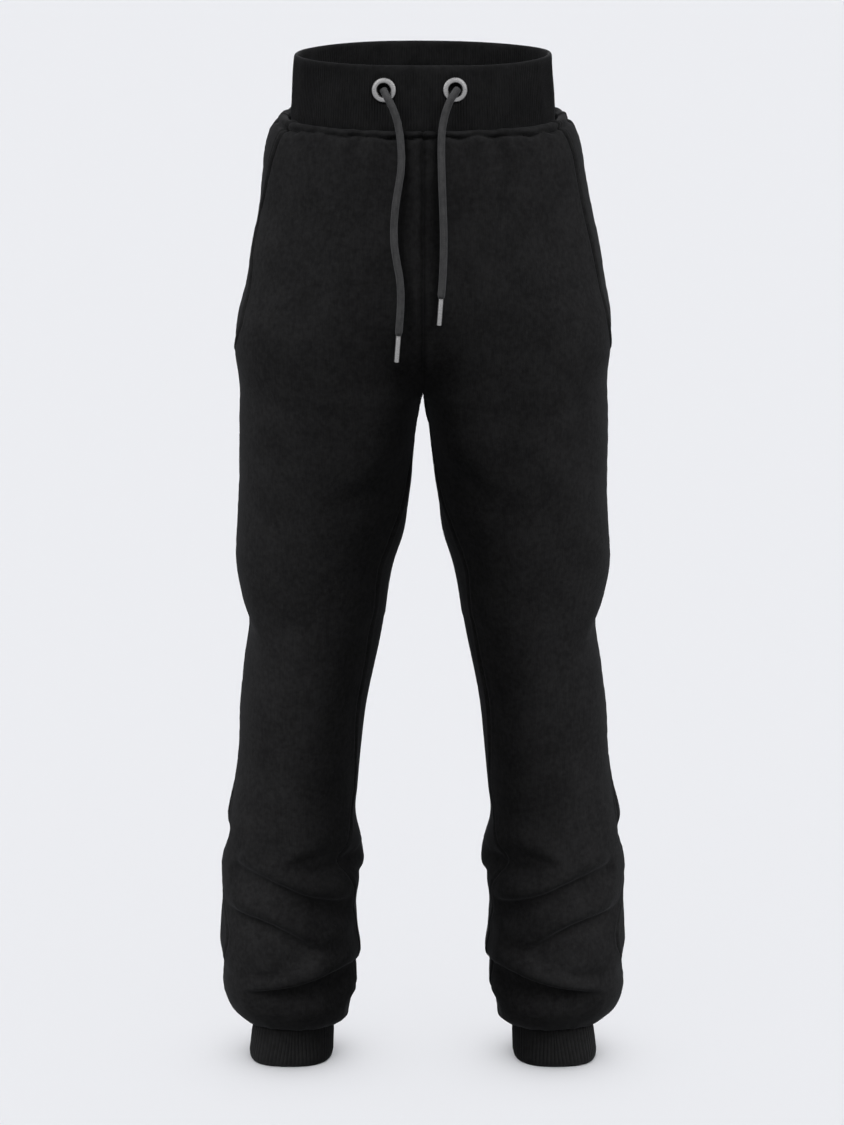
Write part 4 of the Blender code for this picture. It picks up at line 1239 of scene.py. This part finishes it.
def add_bump(tree, shader, height, strength, distance):
    """Bump the shader's normal by a height."""
    node = tree.nodes.new("ShaderNodeBump")
    node.inputs["Strength"].default_value = strength
    node.inputs["Distance"].default_value = distance
    tree.links.new(height, node.inputs["Height"])
    tree.links.new(node.outputs["Normal"], shader.inputs["Normal"])


def weighted(tree, *terms):
    """The sum of sockets times their weights."""
    parts = [add_math(tree, "MULTIPLY", socket, weight) for socket, weight in terms]
    total = parts[0]
    for part in parts[1:]:
        total = add_math(tree, "ADD", total, part)
    return total


def cloth_material(name, slot, dark, light, sheen, grain):
    """Napped knit: mottled colour, a fine nap, faint upright wales and a soft sheen."""
    made, tree, shader = new_material(name, slot, {
        "Roughness": 0.92, "Specular IOR Level": 0.03, "Sheen Weight": sheen,
        "Sheen Roughness": 0.45, "Sheen Tint": (0.62, 0.64, 0.68, 1.0)})
    clouds = add_noise(tree, 30.0, 6.0)
    flecks = add_noise(tree, 210.0, 4.0)
    wales = add_noise(tree, 1.0, 2.0, (900.0, 900.0, 70.0))
    nap = add_noise(tree, 1500.0, 2.0)
    mottle = weighted(tree, (clouds, 0.35), (flecks, 0.45), (wales, 0.2))
    colour = add_ramp(tree, mottle, ((0.40, dark), (0.60, light)))
    tree.links.new(colour, shader.inputs["Base Color"])
    height = weighted(tree, (nap, 0.55), (wales, 0.45), (flecks, 0.4))
    add_bump(tree, shader, height, grain, 0.0006)
    return made


def metal_material():
    """Satin silver with faint brushing."""
    made, tree, shader = new_material("satin_metal_finish", "satin_metal", {"Metallic": 1.0})
    brush = add_noise(tree, 1.0, 3.0, (600.0, 600.0, 2600.0))
    for socket, dark, light in (("Base Color", (0.24, 0.238, 0.235), (0.36, 0.355, 0.35)),
                                ("Roughness", (0.24, 0.24, 0.24), (0.36, 0.36, 0.36))):
        shade = add_ramp(tree, brush, ((0.3, dark), (0.7, light)))
        tree.links.new(shade, shader.inputs[socket])
    add_bump(tree, shader, brush, 0.08, 0.0001)
    return made


def make_camera():
    """The camera, level with the waist and looking a little down."""
    data = bpy.data.cameras.new("camera")
    data.sensor_width = 36.0
    data.lens = CAMERA_LENS
    data.clip_end = 300.0
    camera = bpy.data.objects.new("camera", data)
    camera.location = CAMERA_PLACE
    camera.rotation_euler = (math.radians(90.0 - CAMERA_PITCH), 0.0, 0.0)
    bpy.context.scene.collection.objects.link(camera)
    bpy.context.scene.camera = camera


def make_stage():
    """A plain pale floor that runs out to a pale sky."""
    made, tree, shader = new_material("floor_paint", "", {
        "Roughness": 1.0, "Specular IOR Level": 0.0})
    grain = add_noise(tree, 3.0, 2.0)
    colour = add_ramp(tree, grain, ((0.0, FLOOR_COLOUR), (1.0, FLOOR_COLOUR)))
    tree.links.new(colour, shader.inputs["Base Color"])
    rim = [(STAGE_RADIUS * math.cos(a), STAGE_RADIUS * math.sin(a), -ORIGIN_HEIGHT * MM)
           for a in np.linspace(0.0, 2.0 * math.pi, 96, endpoint=False)]
    mesh = bpy.data.meshes.new("floor")
    mesh.from_pydata(rim, [], [list(range(len(rim)))])
    mesh.materials.append(made)
    floor = bpy.data.objects.new("floor", mesh)
    sky_paint = new_material("sky_paint", "", {
        "Base Color": (0.0, 0.0, 0.0, 1.0), "Specular IOR Level": 0.0,
        "Emission Color": (*PALE, 1.0), "Emission Strength": 1.0})[0]
    dome = bmesh.new()
    bmesh.ops.create_uvsphere(dome, u_segments=64, v_segments=32, radius=STAGE_RADIUS)
    mesh = bpy.data.meshes.new("sky")
    dome.to_mesh(mesh)
    dome.free()
    mesh.materials.append(sky_paint)
    sky = bpy.data.objects.new("sky", mesh)
    for thing in (floor, sky):
        bpy.context.scene.collection.objects.link(thing)
        thing.visible_diffuse = False
    floor.visible_glossy = False
    sky.visible_shadow = False
    return floor


def add_lamp(name, kind, energy, pieces, state):
    """A lamp that lights only these pieces, or all but these."""
    data = bpy.data.lights.new(name, kind)
    data.energy = energy
    lamp = bpy.data.objects.new(name, data)
    bpy.context.scene.collection.objects.link(lamp)
    receivers = bpy.data.collections.new(f"lit_by_{name}")
    for piece in pieces:
        receivers.objects.link(piece)
    for entry in receivers.collection_objects:
        entry.light_linking.link_state = state
    lamp.light_linking.receiver_collection = receivers
    return lamp


def make_lights(floor):
    """Soft light on the cloth, two lamps for the floor alone and a low fill at the front."""
    rib_and_fleece = [piece for piece in bpy.data.objects
                      if piece.name.startswith(("fleece_", "rib_cuff_"))]
    for kind in LAMPS:
        other = OPPOSITE.get(kind.lit, " ")
        pieces = [floor] + [piece for piece in rib_and_fleece if piece.name.endswith(other)]
        state = "INCLUDE" if kind.lit == "floor" else "EXCLUDE"
        lamp = add_lamp(kind.name, "SUN", kind.strength, pieces, state)
        lamp.data.angle = math.radians(kind.width)
        high = math.radians(kind.elevation)
        turn = math.radians(kind.azimuth)
        toward = Vector((math.cos(high) * math.sin(turn), -math.cos(high) * math.cos(turn),
                         math.sin(high)))
        lamp.rotation_euler = toward.to_track_quat("Z", "Y").to_euler()
        if kind.shading == "cuffs":
            blockers = bpy.data.collections.new(f"shading_{kind.name}")
            for word in ("left", "right"):
                blockers.objects.link(bpy.data.objects[f"rib_cuff_{word}"])
            lamp.light_linking.blocker_collection = blockers
            lamp.data.cycles.use_multiple_importance_sampling = False
    lamp = add_lamp("low_fill", "AREA", LOW_FILL.power, [floor], "EXCLUDE")
    lamp.data.size = LOW_FILL.size
    lamp.location = LOW_FILL.place
    lamp.rotation_euler = Vector((0.0, 1.0, 0.0)).to_track_quat("-Z", "Y").to_euler()
    lamp.visible_camera = False
    lamp.visible_glossy = False
    world = bpy.data.worlds.new("no_light")
    bpy.context.scene.world = world
    world.use_nodes = True
    world.node_tree.nodes["Background"].inputs["Strength"].default_value = 0.0


def main():
    make_camera()
    bpy.context.scene.view_settings.view_transform = "Standard"
    fleece, rib, waist_rib, cotton, thread = [cloth_material(*row) for row in CLOTHS]
    metal = metal_material()
    for word in ("right", "left"):
        make_cord(word, cotton, metal)
    for side in (1, -1):
        shell = Side(side)
        front = make_panels(shell, fleece, thread)
        make_pocket(shell, front, fleece)
        make_cuff(side, shell.word, rib)
    make_band(waist_rib)
    make_eyelets(metal)
    make_lights(make_stage())


main()
